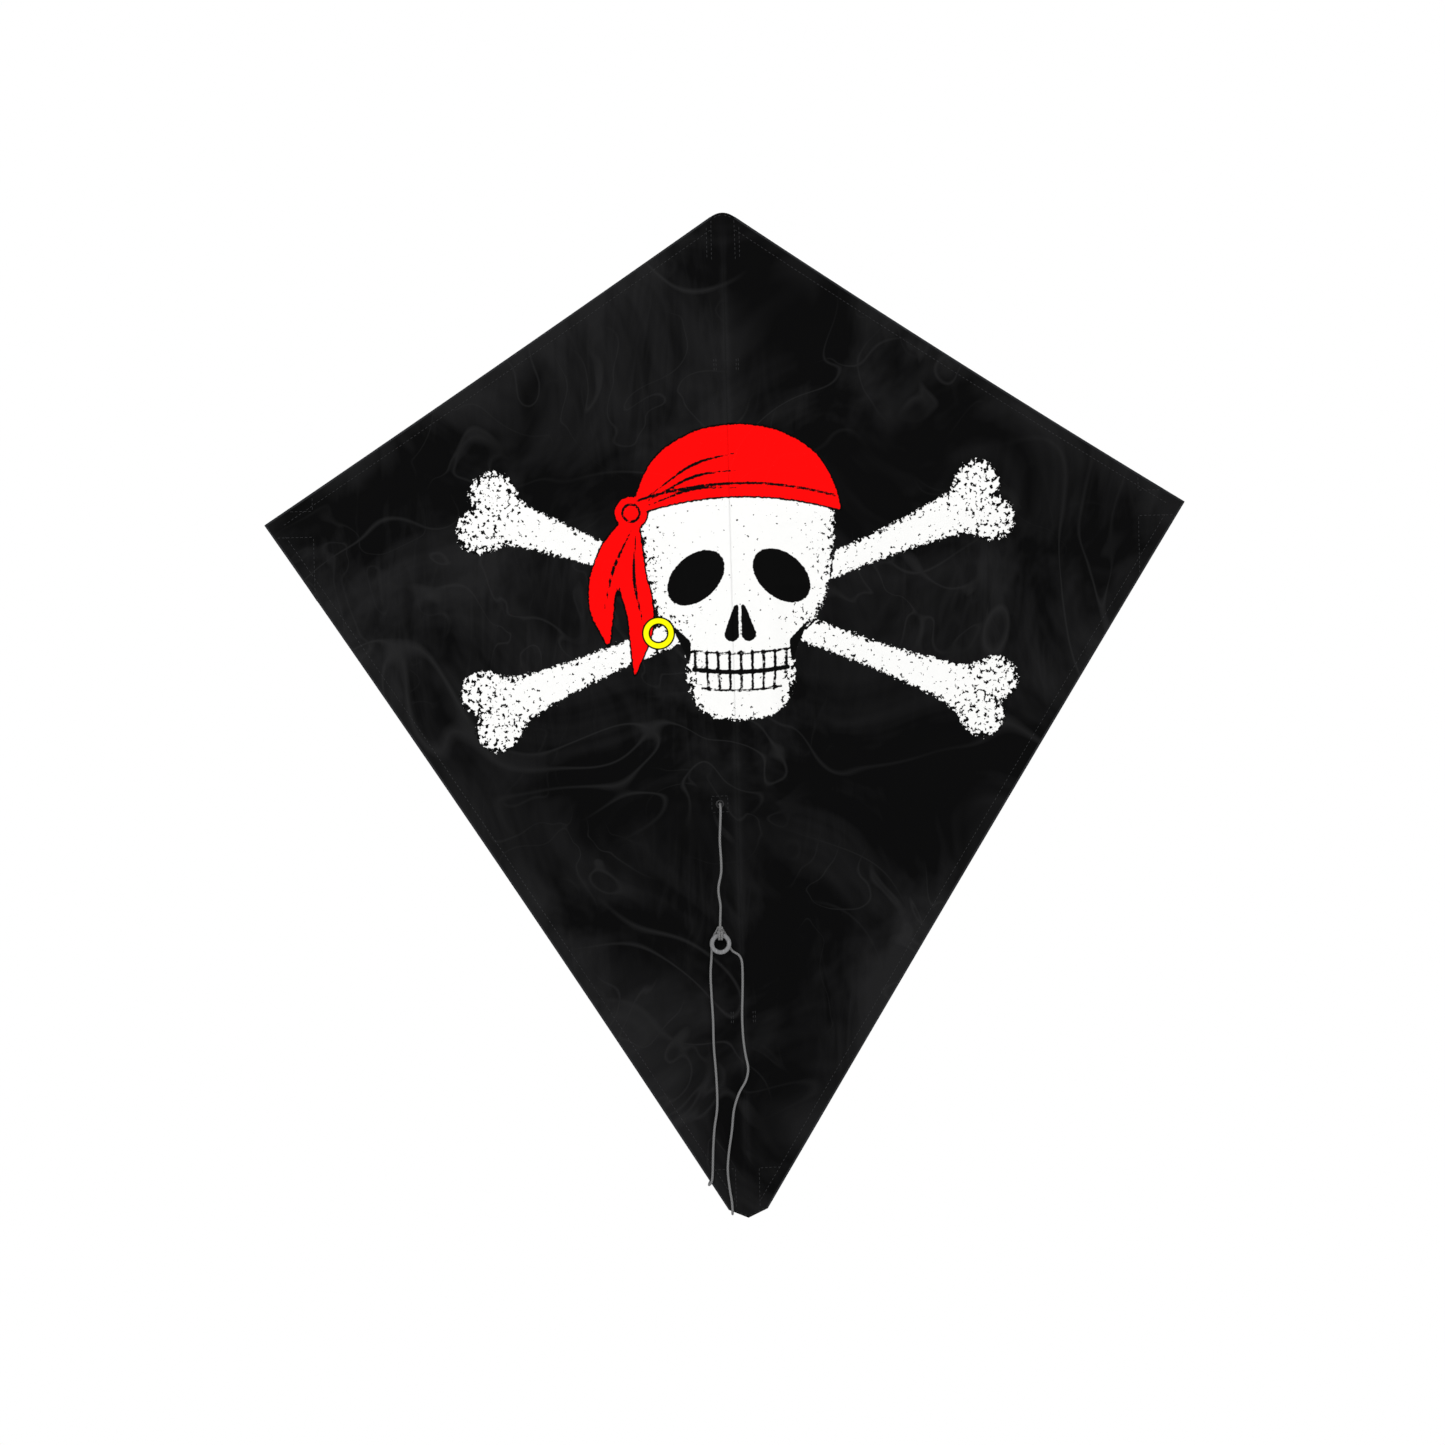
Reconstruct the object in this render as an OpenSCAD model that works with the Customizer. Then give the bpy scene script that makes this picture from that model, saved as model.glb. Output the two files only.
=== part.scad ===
// Flat diamond kite: a fabric sail on a spine and two half spars that meet in a rubber hub,
// with a bridle and a tow ring on its front. The front faces -Y, and the kite stands upright.
// The origin is the centre of the flat pad on the hub's back, behind the crossing of the rods.

/* [Sail] */
// Width from wing tip to wing tip
span = 643; // [500:1:800]
// Height of the nose above the crossing
nose_height = 208; // [160:1:260]
// Depth of the tail below the crossing
tail_depth = 495; // [400:1:620]
// Width of the blunt nose
nose_flat = 17; // [15:0.5:22]
// Width of the blunt tail
tail_flat = 27; // [25:0.5:34]
// How far the blunt ends rise to their middle
end_rise = 6; // [3:0.5:8]
// Thickness of the sail cloth
sail_t = 0.3; // [0.2:0.05:0.6]
// Width of the folded hems
hem_w = 9; // [6:0.5:14]
// Thickness of the folded hems
hem_t = 0.5; // [0.3:0.05:0.9]
// Gap between the sail and the hub behind it
sail_gap = 0.3; // [0.2:0.05:1]

/* [Rods] */
// Diameter of the spine
spine_d = 4; // [3:0.1:6]
// Diameter of the half spars
spar_d = 3.5; // [3:0.1:5]
// Wall of the vinyl end caps
cap_wall = 1; // [0.6:0.1:1.5]
// Length of the end caps
cap_length = 18; // [12:0.5:26]
// Distance from the end of each spine cap to the sail's end
spine_inset = 3.5; // [3:0.5:8]
// Distance from the end of each spar cap to the wing tip
spar_inset = 5; // [4.5:0.5:12]
// Radial clearance of a rod or cap in what holds it
fit_gap = 0.06; // [0.02:0.01:0.1]

/* [Hub] */
// Height of the hub's tube round the spine
hub_height = 28; // [20:1:40]
// Rubber wall round the rods
rubber_wall = 2; // [1.5:0.1:3]
// Thickness of the pad on the hub's back
pad_t = 1; // [0.6:0.1:3]
// Diameter of the pad
pad_d = 14; // [10:0.5:20]
// Length of each arm's sleeve over its spar
sleeve_length = 30; // [20:1:45]
// Distance from the spine to where an arm bends
fold_x = 17; // [16:0.5:22]
// How far each crease moves out for each millimetre down
fold_lean = 0.0213; // [0.018:0.0001:0.024]
// Gap between a wing and what stays with the spine
fold_gap = 0.8; // [0.5:0.1:2]
// Diameter of the arm's knuckle
knuckle_d = 4.4; // [3.5:0.1:5]
// Clearance round the knuckle
knuckle_gap = 0.4; // [0.3:0.05:0.8]
// Height of the stop collars on the spine
collar_height = 5; // [3:0.5:8]

/* [Pockets] */
// Height of the nose pocket
nose_pocket_h = 34; // [30:1:50]
// Height of the tail pocket
tail_pocket_h = 36; // [33:1:50]
// Length of the wing-tip pockets
tip_pocket_l = 34; // [28:1:50]
// Thickness of the pocket cloth
pocket_t = 0.6; // [0.4:0.1:1]
// Width of the spine keepers
keeper_w = 18; // [14:1:22]
// Height of the spine keepers
keeper_h = 12; // [8:1:20]
// Heights of the two keepers
keeper_zs = [104, -352];
// Inner radius of the tail tab's eye
tab_eye_r = 2.2; // [1.8:0.1:3]
// Width of the tail tab's tape
tab_w = 8; // [6:0.5:9]

/* [Bridle] */
// Diameter of the bridle line
line_d = 1.6; // [1.2:0.1:2]
// Radius of the eyelet's hole
eyelet_r = 1.5; // [1.2:0.1:2.2]
// Wall of the eyelet's barrel
eyelet_wall = 0.4; // [0.3:0.05:0.6]
// Radius of the eyelet's rims
eyelet_rim_r = 3; // [2.6:0.1:4.5]
// Thickness of the eyelet's rims
eyelet_rim_t = 0.5; // [0.3:0.05:0.8]
// Half width of the patch behind the eyelet
patch_half = 7; // [6:0.5:8]
// Inner radius of the tow ring
ring_bore_r = 4.5; // [3.5:0.1:6]
// Radial width of the tow ring
ring_band = 3; // [2.4:0.1:4]
// Thickness of the tow ring
ring_t = 3; // [2.4:0.1:4]

/* [Hidden] */
$fn = 48;

cloth = [0.08, 0.08, 0.085];
tape = [0.12, 0.12, 0.13];
glass_rod = [0.86, 0.84, 0.76];
vinyl = [0.1, 0.1, 0.1];
rubber = [0.13, 0.13, 0.13];
cord_grey = [0.5, 0.5, 0.5];
dark_metal = [0.16, 0.16, 0.17];
ring_grey = [0.42, 0.42, 0.43];

// Depths, from the pad's face at y = 0 forward
spine_r = spine_d / 2;
spar_r = spar_d / 2;
spine_cap_r = spine_r + fit_gap + cap_wall;
spar_cap_r = spar_r + fit_gap + cap_wall;
hub_r = spine_r + rubber_wall;
rod_y = -(hub_r + pad_t);                    // axis of the spine and of the spars
pocket_reach = max(spine_cap_r, spar_cap_r) + fit_gap + pocket_t + hem_t;
sail_back = rod_y - max(hub_r + sail_gap, pocket_reach);
sail_front = sail_back - sail_t;
hem_back = sail_back + hem_t;

// Outline of the right half of the sail, in x and z
function nose_at(x) = [x, nose_height - end_rise / 2 * pow(2 * x / nose_flat, 2)];
nose_corner = nose_at(nose_flat / 2);
tail_corner = [tail_flat / 2, -(tail_depth - end_rise)];
wing_tip = [span / 2, 0];
crease_top = [fold_x - fold_lean * nose_height, nose_height];
crease_foot = [fold_x + fold_lean * tail_depth, -tail_depth];

function along(a, b) = (b - a) / norm(b - a);
function right_of(d) = [d[1], -d[0]];                     // to the right of a direction, seen from +Y
function shifted(a, b, d) = [a + d * right_of(along(a, b)), b + d * right_of(along(a, b))];
function cross2(p, q) = p[0] * q[1] - p[1] * q[0];
function meet(p, q) =                                     // where two lines, each a pair of points, cross
    let(u = p[1] - p[0], v = q[1] - q[0], s = cross2(q[0] - p[0], v) / cross2(u, v)) p[0] + s * u;
function mirrored(points) = [for (p = points) [-p[0], p[1]]];
function backwards(points) = [for (i = [len(points) - 1:-1:0]) points[i]];

leading = [nose_corner, wing_tip];
trailing = [wing_tip, tail_corner];
leading_in = shifted(leading[0], leading[1], hem_w);
trailing_in = shifted(trailing[0], trailing[1], hem_w);
wing_crease = shifted(crease_foot, crease_top, fold_gap / 2);
strip_crease = shifted(crease_foot, crease_top, -fold_gap / 2);

// A flat plate with an outline in x and z, from the depth front to the depth back
module plate(points, front, back) {
    translate([0, back, 0]) rotate([90, 0, 0]) linear_extrude(back - front) polygon(points);
}

// Puts a part of the right wing on the left
module on_side(side) {
    if (side < 0) mirror([1, 0, 0]) children();
    else children();
}

// A cylinder along X from x0 to x1, on the rods' axis
module bar_x(r, x0, x1) {
    translate([x0, rod_y, 0]) rotate([0, 90, 0]) cylinder(r = r, h = x1 - x0);
}

// A cylinder along Z from z0 to z1, on the rods' axis
module bar_z(r, z0, z1) {
    translate([0, rod_y, z0]) cylinder(r = r, h = z1 - z0);
}

// ---- Rods and end caps ----
spine_top = nose_height - spine_inset - cap_wall;
spine_foot = -(tail_depth - spine_inset - cap_wall);
spar_out = span / 2 - spar_inset - cap_wall;
knuckle_reach = rubber_wall + spar_r + 1;                 // the sleeve starts this far past the crease
sleeve_in = fold_x + knuckle_reach;
spar_in = sleeve_in + rubber_wall;

module spine() {
    color(glass_rod) bar_z(spine_r, spine_foot, spine_top);
}

module half_spar() {
    color(glass_rod) bar_x(spar_r, spar_in, spar_out);
}

// A blind cap along +Z, its closed and bevelled end at z = 0
module end_cap(rod_r, outer_r) {
    bevel = cap_wall * 0.8;
    color(vinyl) difference() {
        rotate_extrude() polygon([
            [0, 0], [outer_r - bevel, 0], [outer_r, -bevel], [outer_r, -cap_length], [0, -cap_length]
        ]);
        translate([0, 0, -cap_length - 1]) cylinder(r = rod_r + fit_gap, h = cap_length + 1 - cap_wall);
    }
}

module nose_cap() {
    translate([0, rod_y, spine_top + cap_wall]) end_cap(spine_r, spine_cap_r);
}

module tail_cap() {
    translate([0, rod_y, spine_foot - cap_wall]) mirror([0, 0, 1]) end_cap(spine_r, spine_cap_r);
}

module tip_cap() {
    translate([spar_out + cap_wall, rod_y, 0]) rotate([0, 90, 0]) end_cap(spar_r, spar_cap_r);
}

// ---- Rubber hub, its two arms and the stop collars ----
stub_r = spar_r + rubber_wall * 0.75;
stub_out = fold_x - knuckle_d / 2 - knuckle_gap;
sleeve_r = spar_r + rubber_wall;

module hub() {
    color(rubber) difference() {
        union() {
            bar_z(hub_r, -hub_height / 2, hub_height / 2);
            bar_x(stub_r, -stub_out, stub_out);
            translate([0, rod_y, 0]) rotate([-90, 0, 0]) cylinder(d = pad_d, h = -rod_y);
        }
        bar_z(spine_r + fit_gap, -hub_height, hub_height);
    }
}

module stop_collar(z) {
    color(vinyl) difference() {
        bar_z(spine_cap_r, z, z + collar_height);
        bar_z(spine_r + fit_gap, z - 1, z + collar_height + 1);
    }
}

module upper_collar() {
    stop_collar(hub_height / 2 + fit_gap);
}

module lower_collar() {
    stop_collar(-hub_height / 2 - fit_gap - collar_height);
}

// The arm's sleeve, with a web to a knuckle on the crease line
module arm() {
    color(rubber) difference() {
        union() {
            bar_x(sleeve_r, sleeve_in, sleeve_in + sleeve_length);
            translate([fold_x, rod_y - knuckle_d / 4, -knuckle_d / 2])
                cube([knuckle_reach + 1, knuckle_d / 2, knuckle_d]);
            translate([fold_x, rod_y, 0]) rotate([0, -atan(fold_lean), 0])
                cylinder(d = knuckle_d, h = 2 * stub_r, center = true);
        }
        bar_x(spar_r + fit_gap, spar_in, sleeve_in + sleeve_length + 1);
    }
}

// ---- Sail, in a centre strip and two wings ----
eyelet_at = [-12.5, -202.5];                              // x and z of the hole that the bridle leaves by
barrel_r = eyelet_r + eyelet_wall;

// A hole through the sail's layers at the eyelet
module eyelet_hole(r) {
    translate([eyelet_at[0], 1, eyelet_at[1]]) rotate([90, 0, 0]) cylinder(r = r, h = 4 - sail_front);
}

module sail_centre() {
    half = concat(
        [nose_at(nose_flat / 4), nose_corner, meet(strip_crease, leading)],
        [meet(strip_crease, trailing), tail_corner]
    );
    color(cloth) difference() {
        plate(
            concat([[0, nose_height]], half, [[0, -tail_depth]], backwards(mirrored(half))),
            sail_front, sail_back
        );
        eyelet_hole(barrel_r + fit_gap);
    }
}

module wing_sail() {
    color(cloth)
        plate([meet(wing_crease, leading), wing_tip, meet(wing_crease, trailing)], sail_front, sail_back);
}

module leading_hem() {
    color(tape) plate(
        [
            meet(wing_crease, leading), wing_tip,
            meet(leading_in, trailing_in), meet(wing_crease, leading_in)
        ],
        sail_back, hem_back
    );
}

module trailing_hem() {
    color(tape) plate(
        [
            wing_tip, meet(wing_crease, trailing),
            meet(wing_crease, trailing_in), meet(leading_in, trailing_in)
        ],
        sail_back, hem_back
    );
}

// ---- Pockets, keepers and the tail tab ----
sewn_end = 2;                                             // of a pocket's end, beyond its tube
web_w = 2;                                                // of the seam that joins a tube to its flat
cap_room = 0.5;                                           // between a spar's cap and its pocket's end
module nose_pocket() {
    foot = nose_height - nose_pocket_h;
    crease_edge = meet(strip_crease, leading);
    half = [
        nose_at(nose_flat / 4), nose_corner, crease_edge,
        meet(strip_crease, [[0, foot], [1, foot]])
    ];
    color(tape) difference() {
        union() {
            plate(concat([[0, nose_height]], half, backwards(mirrored(half))), sail_back, hem_back);
            bar_z(spine_cap_r + fit_gap + pocket_t, foot, nose_height - sewn_end);
            translate([-web_w / 2, sail_back, foot])
                cube([web_w, rod_y - sail_back - spine_r, nose_pocket_h - sewn_end]);
        }
        bar_z(spine_cap_r + fit_gap, foot - 1, nose_height - sewn_end - pocket_t);
    }
}

module tail_pocket() {
    top = -tail_depth + tail_pocket_h;
    half = [tail_corner, meet(strip_crease, trailing), meet(strip_crease, [[0, top], [1, top]])];
    color(tape) difference() {
        union() {
            plate(concat([[0, -tail_depth]], half, backwards(mirrored(half))), sail_back, hem_back);
            bar_z(spine_cap_r + fit_gap + pocket_t, -tail_depth + sewn_end, top);
            translate([-web_w / 2, sail_back, -tail_depth + sewn_end])
                cube([web_w, rod_y - sail_back - spine_r, tail_pocket_h - sewn_end]);
        }
        bar_z(spine_cap_r + fit_gap, -tail_depth + sewn_end + pocket_t, top + 1);
    }
}

module tip_pocket() {
    mouth = span / 2 - tip_pocket_l;
    bore_r = spar_cap_r + fit_gap;
    bore_end = span / 2 - spar_inset + cap_room;
    color(tape) difference() {
        union() {
            plate(
                [
                    [mouth, meet(leading, [[mouth, 0], [mouth, 1]])[1]], wing_tip,
                    [mouth, meet(trailing, [[mouth, 0], [mouth, 1]])[1]]
                ],
                hem_back, hem_back + pocket_t
            );
            bar_x(bore_r + pocket_t, mouth, bore_end + pocket_t);
            translate([mouth, hem_back, -web_w / 2])
                cube([tip_pocket_l - spar_inset, rod_y - spar_r - hem_back, web_w]);
        }
        bar_x(bore_r, mouth - 1, bore_end);
    }
}

// A tape band round the spine, sewn to the sail on both sides
module keeper(z) {
    bore_r = spine_r + fit_gap;
    color(tape) difference() {
        union() {
            bar_z(bore_r + pocket_t, z - keeper_h / 2, z + keeper_h / 2);
            translate([-keeper_w / 2, sail_back, z - keeper_h / 2]) cube([keeper_w, pocket_t, keeper_h]);
            translate([-web_w / 2, sail_back, z - keeper_h / 2])
                cube([web_w, rod_y - sail_back - spine_r, keeper_h]);
        }
        bar_z(bore_r, z - keeper_h, z + keeper_h);
    }
}

tab_side = 1.8;                                           // from the tail pocket's tube to the tab
tab_rise = 21;                                            // of the tab above the tail
tab_stem = 3;                                             // thickness of the tab's sewn stem
tab_at = [spine_cap_r + fit_gap + pocket_t + tab_side, -tail_depth + tab_rise];
tab_r = tab_eye_r + pocket_t;
tab_y = hem_back + tab_r + fit_gap;

module tail_tab() {
    color(tape) difference() {
        union() {
            translate([tab_at[0], tab_y, tab_at[1]]) rotate([0, 90, 0]) cylinder(r = tab_r, h = tab_w);
            translate([tab_at[0], hem_back, tab_at[1] - tab_stem / 2]) cube([tab_w, tab_r, tab_stem]);
        }
        translate([tab_at[0] - 1, tab_y, tab_at[1]]) rotate([0, 90, 0])
            cylinder(r = tab_eye_r, h = tab_w + 2);
    }
}

// ---- Bridle ----
line_r = line_d / 2;
patch_back = sail_back + sail_t;

module bridle_patch() {
    color(tape) difference() {
        translate([eyelet_at[0] - patch_half, sail_back, eyelet_at[1] - patch_half])
            cube([2 * patch_half, patch_back - sail_back, 2 * patch_half]);
        eyelet_hole(barrel_r + fit_gap);
    }
}

// A ring round the eyelet's axis, from the depth front to the depth back
module eyelet_ring(outer_r, front, back) {
    translate([eyelet_at[0], back, eyelet_at[1]]) rotate([90, 0, 0])
        cylinder(r = outer_r, h = back - front);
}

module bridle_eyelet() {
    color(dark_metal) difference() {
        union() {
            eyelet_ring(eyelet_rim_r, sail_front - eyelet_rim_t, sail_front);
            eyelet_ring(barrel_r, sail_front - eyelet_rim_t, patch_back + eyelet_rim_t);
        }
        eyelet_hole(eyelet_r);
    }
}

module eyelet_washer() {
    color(dark_metal) difference() {
        eyelet_ring(eyelet_rim_r, patch_back, patch_back + eyelet_rim_t);
        eyelet_hole(barrel_r + fit_gap);
    }
}

// A turn of line round the spine or a band: a torus about Z
module turn(inner_r) {
    rotate_extrude() translate([inner_r + line_r, 0]) circle(r = line_r);
}

turn_gap = 0.1;                                           // between the spine and the turns round it
turn_pitch = 1.6;                                         // of the turns, in radii of the line

// The line through the eyelet to two turns round the spine
module spine_hitch() {
    start_y = sail_front - eyelet_rim_t + fit_gap;        // just inside the eyelet's mouth
    inner_r = spine_r + turn_gap;
    color(cord_grey) {
        translate([eyelet_at[0], rod_y, eyelet_at[1]]) rotate([90, 0, 0])
            cylinder(r = line_r, h = rod_y - start_y);
        translate([eyelet_at[0], rod_y, eyelet_at[1]]) rotate([0, 90, 0])
            cylinder(r = line_r, h = -eyelet_at[0] - inner_r - line_r);
        for (k = [-1, 1]) translate([0, rod_y, eyelet_at[1] + k * line_r * turn_pitch / 2]) turn(inner_r);
    }
}

tail_hitch_z = -tail_depth + tail_pocket_h + 6;           // a little above the tail pocket

module tail_hitch() {
    color(cord_grey) for (k = [-1, 0, 1])
        translate([0, rod_y, tail_hitch_z + k * line_r * turn_pitch]) turn(spine_r + turn_gap);
}

// Tow ring: a band with rounded outer corners and a flat bore, about an axis along Y
ring_mean_r = ring_bore_r + ring_band / 2;
ring_soft = 0.8;                                          // bevel of the ring's corners
hitch_gap = 0.45;                                         // room for the curved band in the straight turns
hitch_stand = 0.3;                                        // of the turns in front of the sail
hitch_turn_r = norm([ring_band / 2, ring_t / 2 - ring_soft]) + hitch_gap;
ring_y = sail_front - hitch_stand - line_d - hitch_turn_r;
ring_at = [-15, ring_y, -300];                            // centre of the ring
tilt_z = ring_at[2] + ring_mean_r;                        // the ring tilts about its top

module tow_ring() {
    a = ring_bore_r;
    b = ring_bore_r + ring_band;
    h = ring_t / 2;
    color(ring_grey) translate(ring_at) rotate([90, 0, 0]) rotate_extrude() polygon([
        [a, -h + ring_soft], [a + ring_soft, -h], [b - ring_soft, -h], [b, -h + ring_soft],
        [b, h - ring_soft], [b - ring_soft, h], [a + ring_soft, h], [a, h - ring_soft]
    ]);
}

// Two turns of line round the top of the ring, with the knot above them
knot_r = 2;
knot_z = tilt_z + hitch_turn_r + line_r + knot_r * 0.7;

module ring_hitch() {
    half = line_d + fit_gap;                              // two turns side by side
    inner = hitch_turn_r;
    outer = hitch_turn_r + line_d;
    edge = line_r * 0.6;
    color(cord_grey) translate([ring_at[0], ring_y, 0]) {
        translate([0, 0, tilt_z]) rotate([0, 90, 0]) rotate_extrude() polygon([
            [inner, -half], [outer - edge, -half], [outer, edge - half],
            [outer, half - edge], [outer - edge, half], [inner, half]
        ]);
        translate([0, 0, knot_z]) rotate_extrude() polygon([
            [0, -knot_r], [knot_r / 2, -knot_r], [knot_r, -knot_r / 2],
            [knot_r, knot_r / 2], [knot_r / 2, knot_r], [0, knot_r]
        ]);
    }
}

// Routes of the line, as points chosen by hand
upper_route = [
    [-12.5, -10.3, -202.5], [-12.5, -12.25, -203.02], [-12.5, -13.68, -204.45],
    [-12.55, -14.2, -206.4], [-12.6, -14.2, -209.5], [-13, -14, -216], [-13.6, -13.7, -228],
    [-13.1, -13.6, -240], [-13.2, -13.6, -250], [-15.2, -13.6, -259], [-15.4, -13.6, -265],
    [-14.3, -13.6, -273], [-14.6, -13.6, -280], [-15, -13.6, -288.4]
];
left_route = [
    [-16.9, -10.7, -290.6], [-18.3, -10.7, -293], [-19.9, -10.7, -296.4], [-20.8, -10.7, -301],
    [-21.2, -10.7, -308], [-22.3, -10.7, -322], [-22, -10.7, -338], [-21.4, -10.7, -354],
    [-21.4, -10.7, -372], [-20.4, -10.7, -390], [-19.9, -10.7, -406], [-20.4, -10.7, -418],
    [-22.4, -10.7, -430], [-23.6, -10.7, -443], [-24.2, -10.7, -454], [-24.6, -10.75, -462],
    [-25.35, -10.75, -468.27], [-26.73, -9.74, -470.28], [-27.3, -7.3, -471.11],
    [-26.73, -4.86, -470.28], [-25.35, -3.85, -468.27], [-21, -3.8, -464.6], [-14, -4, -459.6],
    [-8, -4.5, -455.4], [-3.4, -5, -451.8]
];
right_route = [
    [-13.1, -10.7, -290.6], [-11.7, -10.7, -293], [-10.1, -10.7, -296.4], [-8.9, -10.7, -301],
    [-7.2, -10.7, -305.2], [-4.4, -10.7, -307.2], [-1.8, -10.7, -309], [-0.1, -10.7, -313],
    [0.2, -10.7, -322], [-0.2, -10.7, -336], [-0.9, -10.7, -352], [-0.5, -10.7, -368],
    [0.9, -10.7, -380], [2.4, -10.7, -389], [0.6, -10.7, -397.5], [-4.6, -10.7, -406.5],
    [-8.4, -10.7, -418], [-10.3, -10.7, -433], [-12.8, -10.7, -448], [-13.9, -10.7, -461],
    [-12.8, -10.7, -474], [-11.6, -10.75, -482.5], [-11.25, -10.75, -489.1],
    [-11.15, -9.74, -491.54], [-11.05, -7.3, -492.55], [-10.95, -4.86, -491.54],
    [-10.8, -3.85, -489.1], [-10.4, -3.8, -484], [-9.2, -3.85, -477], [-7.6, -4.1, -468],
    [-5.7, -4.6, -460.2], [-3.4, -5, -454.6]
];

// A tube swept along a route: a ring of points square to the route at each of its points
tube_sides = 8;
function direction(route, i) =
    along(route[max(i - 1, 0)], route[min(i + 1, len(route) - 1)]);
function square_to(d, hint) = let(s = cross(d, hint)) s / norm(s);
function ring_of(centre, d, r) =
    let(u = square_to(d, abs(d[0]) < 0.7 ? [1, 0, 0] : [0, 0, 1]), v = cross(d, u))
    [for (k = [0:tube_sides - 1]) let(a = 360 * k / tube_sides) centre + r * (cos(a) * u + sin(a) * v)];
function blend_4(p, t) =                                  // a smooth curve through p[1] and p[2]
    0.5 * ((2 * p[1]) + (p[2] - p[0]) * t + (2 * p[0] - 5 * p[1] + 4 * p[2] - p[3]) * t * t
        + (3 * p[1] - p[0] - 3 * p[2] + p[3]) * t * t * t);
function smoothed(route, per) = concat(
    [for (i = [0:len(route) - 2], k = [0:per - 1])
        blend_4([for (j = [i - 1:i + 2]) route[min(max(j, 0), len(route) - 1)]], k / per)],
    [route[len(route) - 1]]
);

module line_tube(route, per) {
    path = smoothed(route, per);
    points = [for (i = [0:len(path) - 1]) each ring_of(path[i], direction(path, i), line_r)];
    last = len(path) - 1;
    n = tube_sides;
    sides = [for (i = [0:last - 1], k = [0:n - 1])
        let(a = i * n + k, b = i * n + (k + 1) % n) [a, b, b + n, a + n]];
    start_face = [[for (k = [n - 1:-1:0]) k]];
    end_face = [[for (k = [0:n - 1]) last * n + k]];
    color(cord_grey) polyhedron(points, concat(sides, start_face, end_face));
}

module upper_leg() {
    line_tube(upper_route, 2);
}

module lower_leg_left() {
    line_tube(left_route, 2);
}

module lower_leg_right() {
    line_tube(right_route, 2);
}

spine();
nose_cap();
tail_cap();
hub();
upper_collar();
lower_collar();
sail_centre();
nose_pocket();
tail_pocket();
keeper(keeper_zs[0]);  // upper_keeper
keeper(keeper_zs[1]);  // lower_keeper
tail_tab();
bridle_patch();
bridle_eyelet();
eyelet_washer();
spine_hitch();
tail_hitch();
on_side(-1) wing_sail();  // left_sail
on_side(-1) half_spar();  // left_spar
on_side(-1) arm();  // left_arm
on_side(-1) tip_cap();  // left_tip_cap
on_side(-1) tip_pocket();  // left_tip_pocket
on_side(-1) leading_hem();  // left_leading_hem
on_side(-1) trailing_hem();  // left_trailing_hem
on_side(1) wing_sail();  // right_sail
on_side(1) half_spar();  // right_spar
on_side(1) arm();  // right_arm
on_side(1) tip_cap();  // right_tip_cap
on_side(1) tip_pocket();  // right_tip_pocket
on_side(1) leading_hem();  // right_leading_hem
on_side(1) trailing_hem();  // right_trailing_hem
upper_leg();
ring_hitch();
tow_ring();
lower_leg_left();
lower_leg_right();
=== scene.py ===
"""Looks of a flat diamond kite: a printed sail, its rods in a rubber hub, and a bridle with a tow ring.

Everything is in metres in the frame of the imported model: the front faces -Y and the nose is up.
Shapes are worked out in millimetres and turned into metres when a mesh is made.
"""
import math

import bmesh
import bpy
import numpy as np
from mathutils import Matrix, Vector


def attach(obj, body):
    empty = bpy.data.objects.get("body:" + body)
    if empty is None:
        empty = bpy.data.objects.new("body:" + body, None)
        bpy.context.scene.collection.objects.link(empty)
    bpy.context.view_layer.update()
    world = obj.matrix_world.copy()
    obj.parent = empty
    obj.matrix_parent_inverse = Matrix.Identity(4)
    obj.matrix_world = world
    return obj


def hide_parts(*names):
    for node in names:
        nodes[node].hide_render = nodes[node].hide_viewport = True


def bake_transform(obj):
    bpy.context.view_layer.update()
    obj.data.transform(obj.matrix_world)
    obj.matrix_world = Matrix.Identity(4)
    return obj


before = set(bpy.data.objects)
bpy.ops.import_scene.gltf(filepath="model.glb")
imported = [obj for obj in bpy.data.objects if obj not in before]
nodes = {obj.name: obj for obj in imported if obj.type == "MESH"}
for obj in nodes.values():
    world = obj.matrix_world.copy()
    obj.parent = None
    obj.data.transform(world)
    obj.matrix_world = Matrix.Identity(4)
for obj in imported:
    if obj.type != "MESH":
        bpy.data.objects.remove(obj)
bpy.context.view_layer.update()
scene = bpy.context.scene
MM = 0.001

# ---- Camera ----
LENS, SENSOR = 85, 36
YAW, PITCH, ROLL = (math.radians(a) for a in (-5.08, 3.14, -1.52))
AIM = Vector((-0.0083, 0, -0.146))
AWAY = 2.391


def make_camera():
    """A camera AWAY from AIM, turned by YAW about Z, raised by PITCH, and rolled about its own axis."""
    back = Vector((math.sin(YAW) * math.cos(PITCH), -math.cos(YAW) * math.cos(PITCH), math.sin(PITCH)))
    right = (-back).cross(Vector((0, 0, 1))).normalized()
    up = right.cross(-back)
    turned_right = math.cos(ROLL) * right + math.sin(ROLL) * up
    turned_up = -math.sin(ROLL) * right + math.cos(ROLL) * up
    data = bpy.data.cameras.new("camera")
    data.lens = LENS
    data.sensor_width = SENSOR
    camera = bpy.data.objects.new("camera", data)
    scene.collection.objects.link(camera)
    axes = Matrix((turned_right, turned_up, back)).transposed().to_4x4()
    camera.matrix_world = Matrix.Translation(AIM + AWAY * back) @ axes
    scene.camera = camera


make_camera()


# ---- Materials ----
THREAD_PITCH = 0.0008
STRANDS, BRAID_TURN = 4, 2.2


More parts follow.
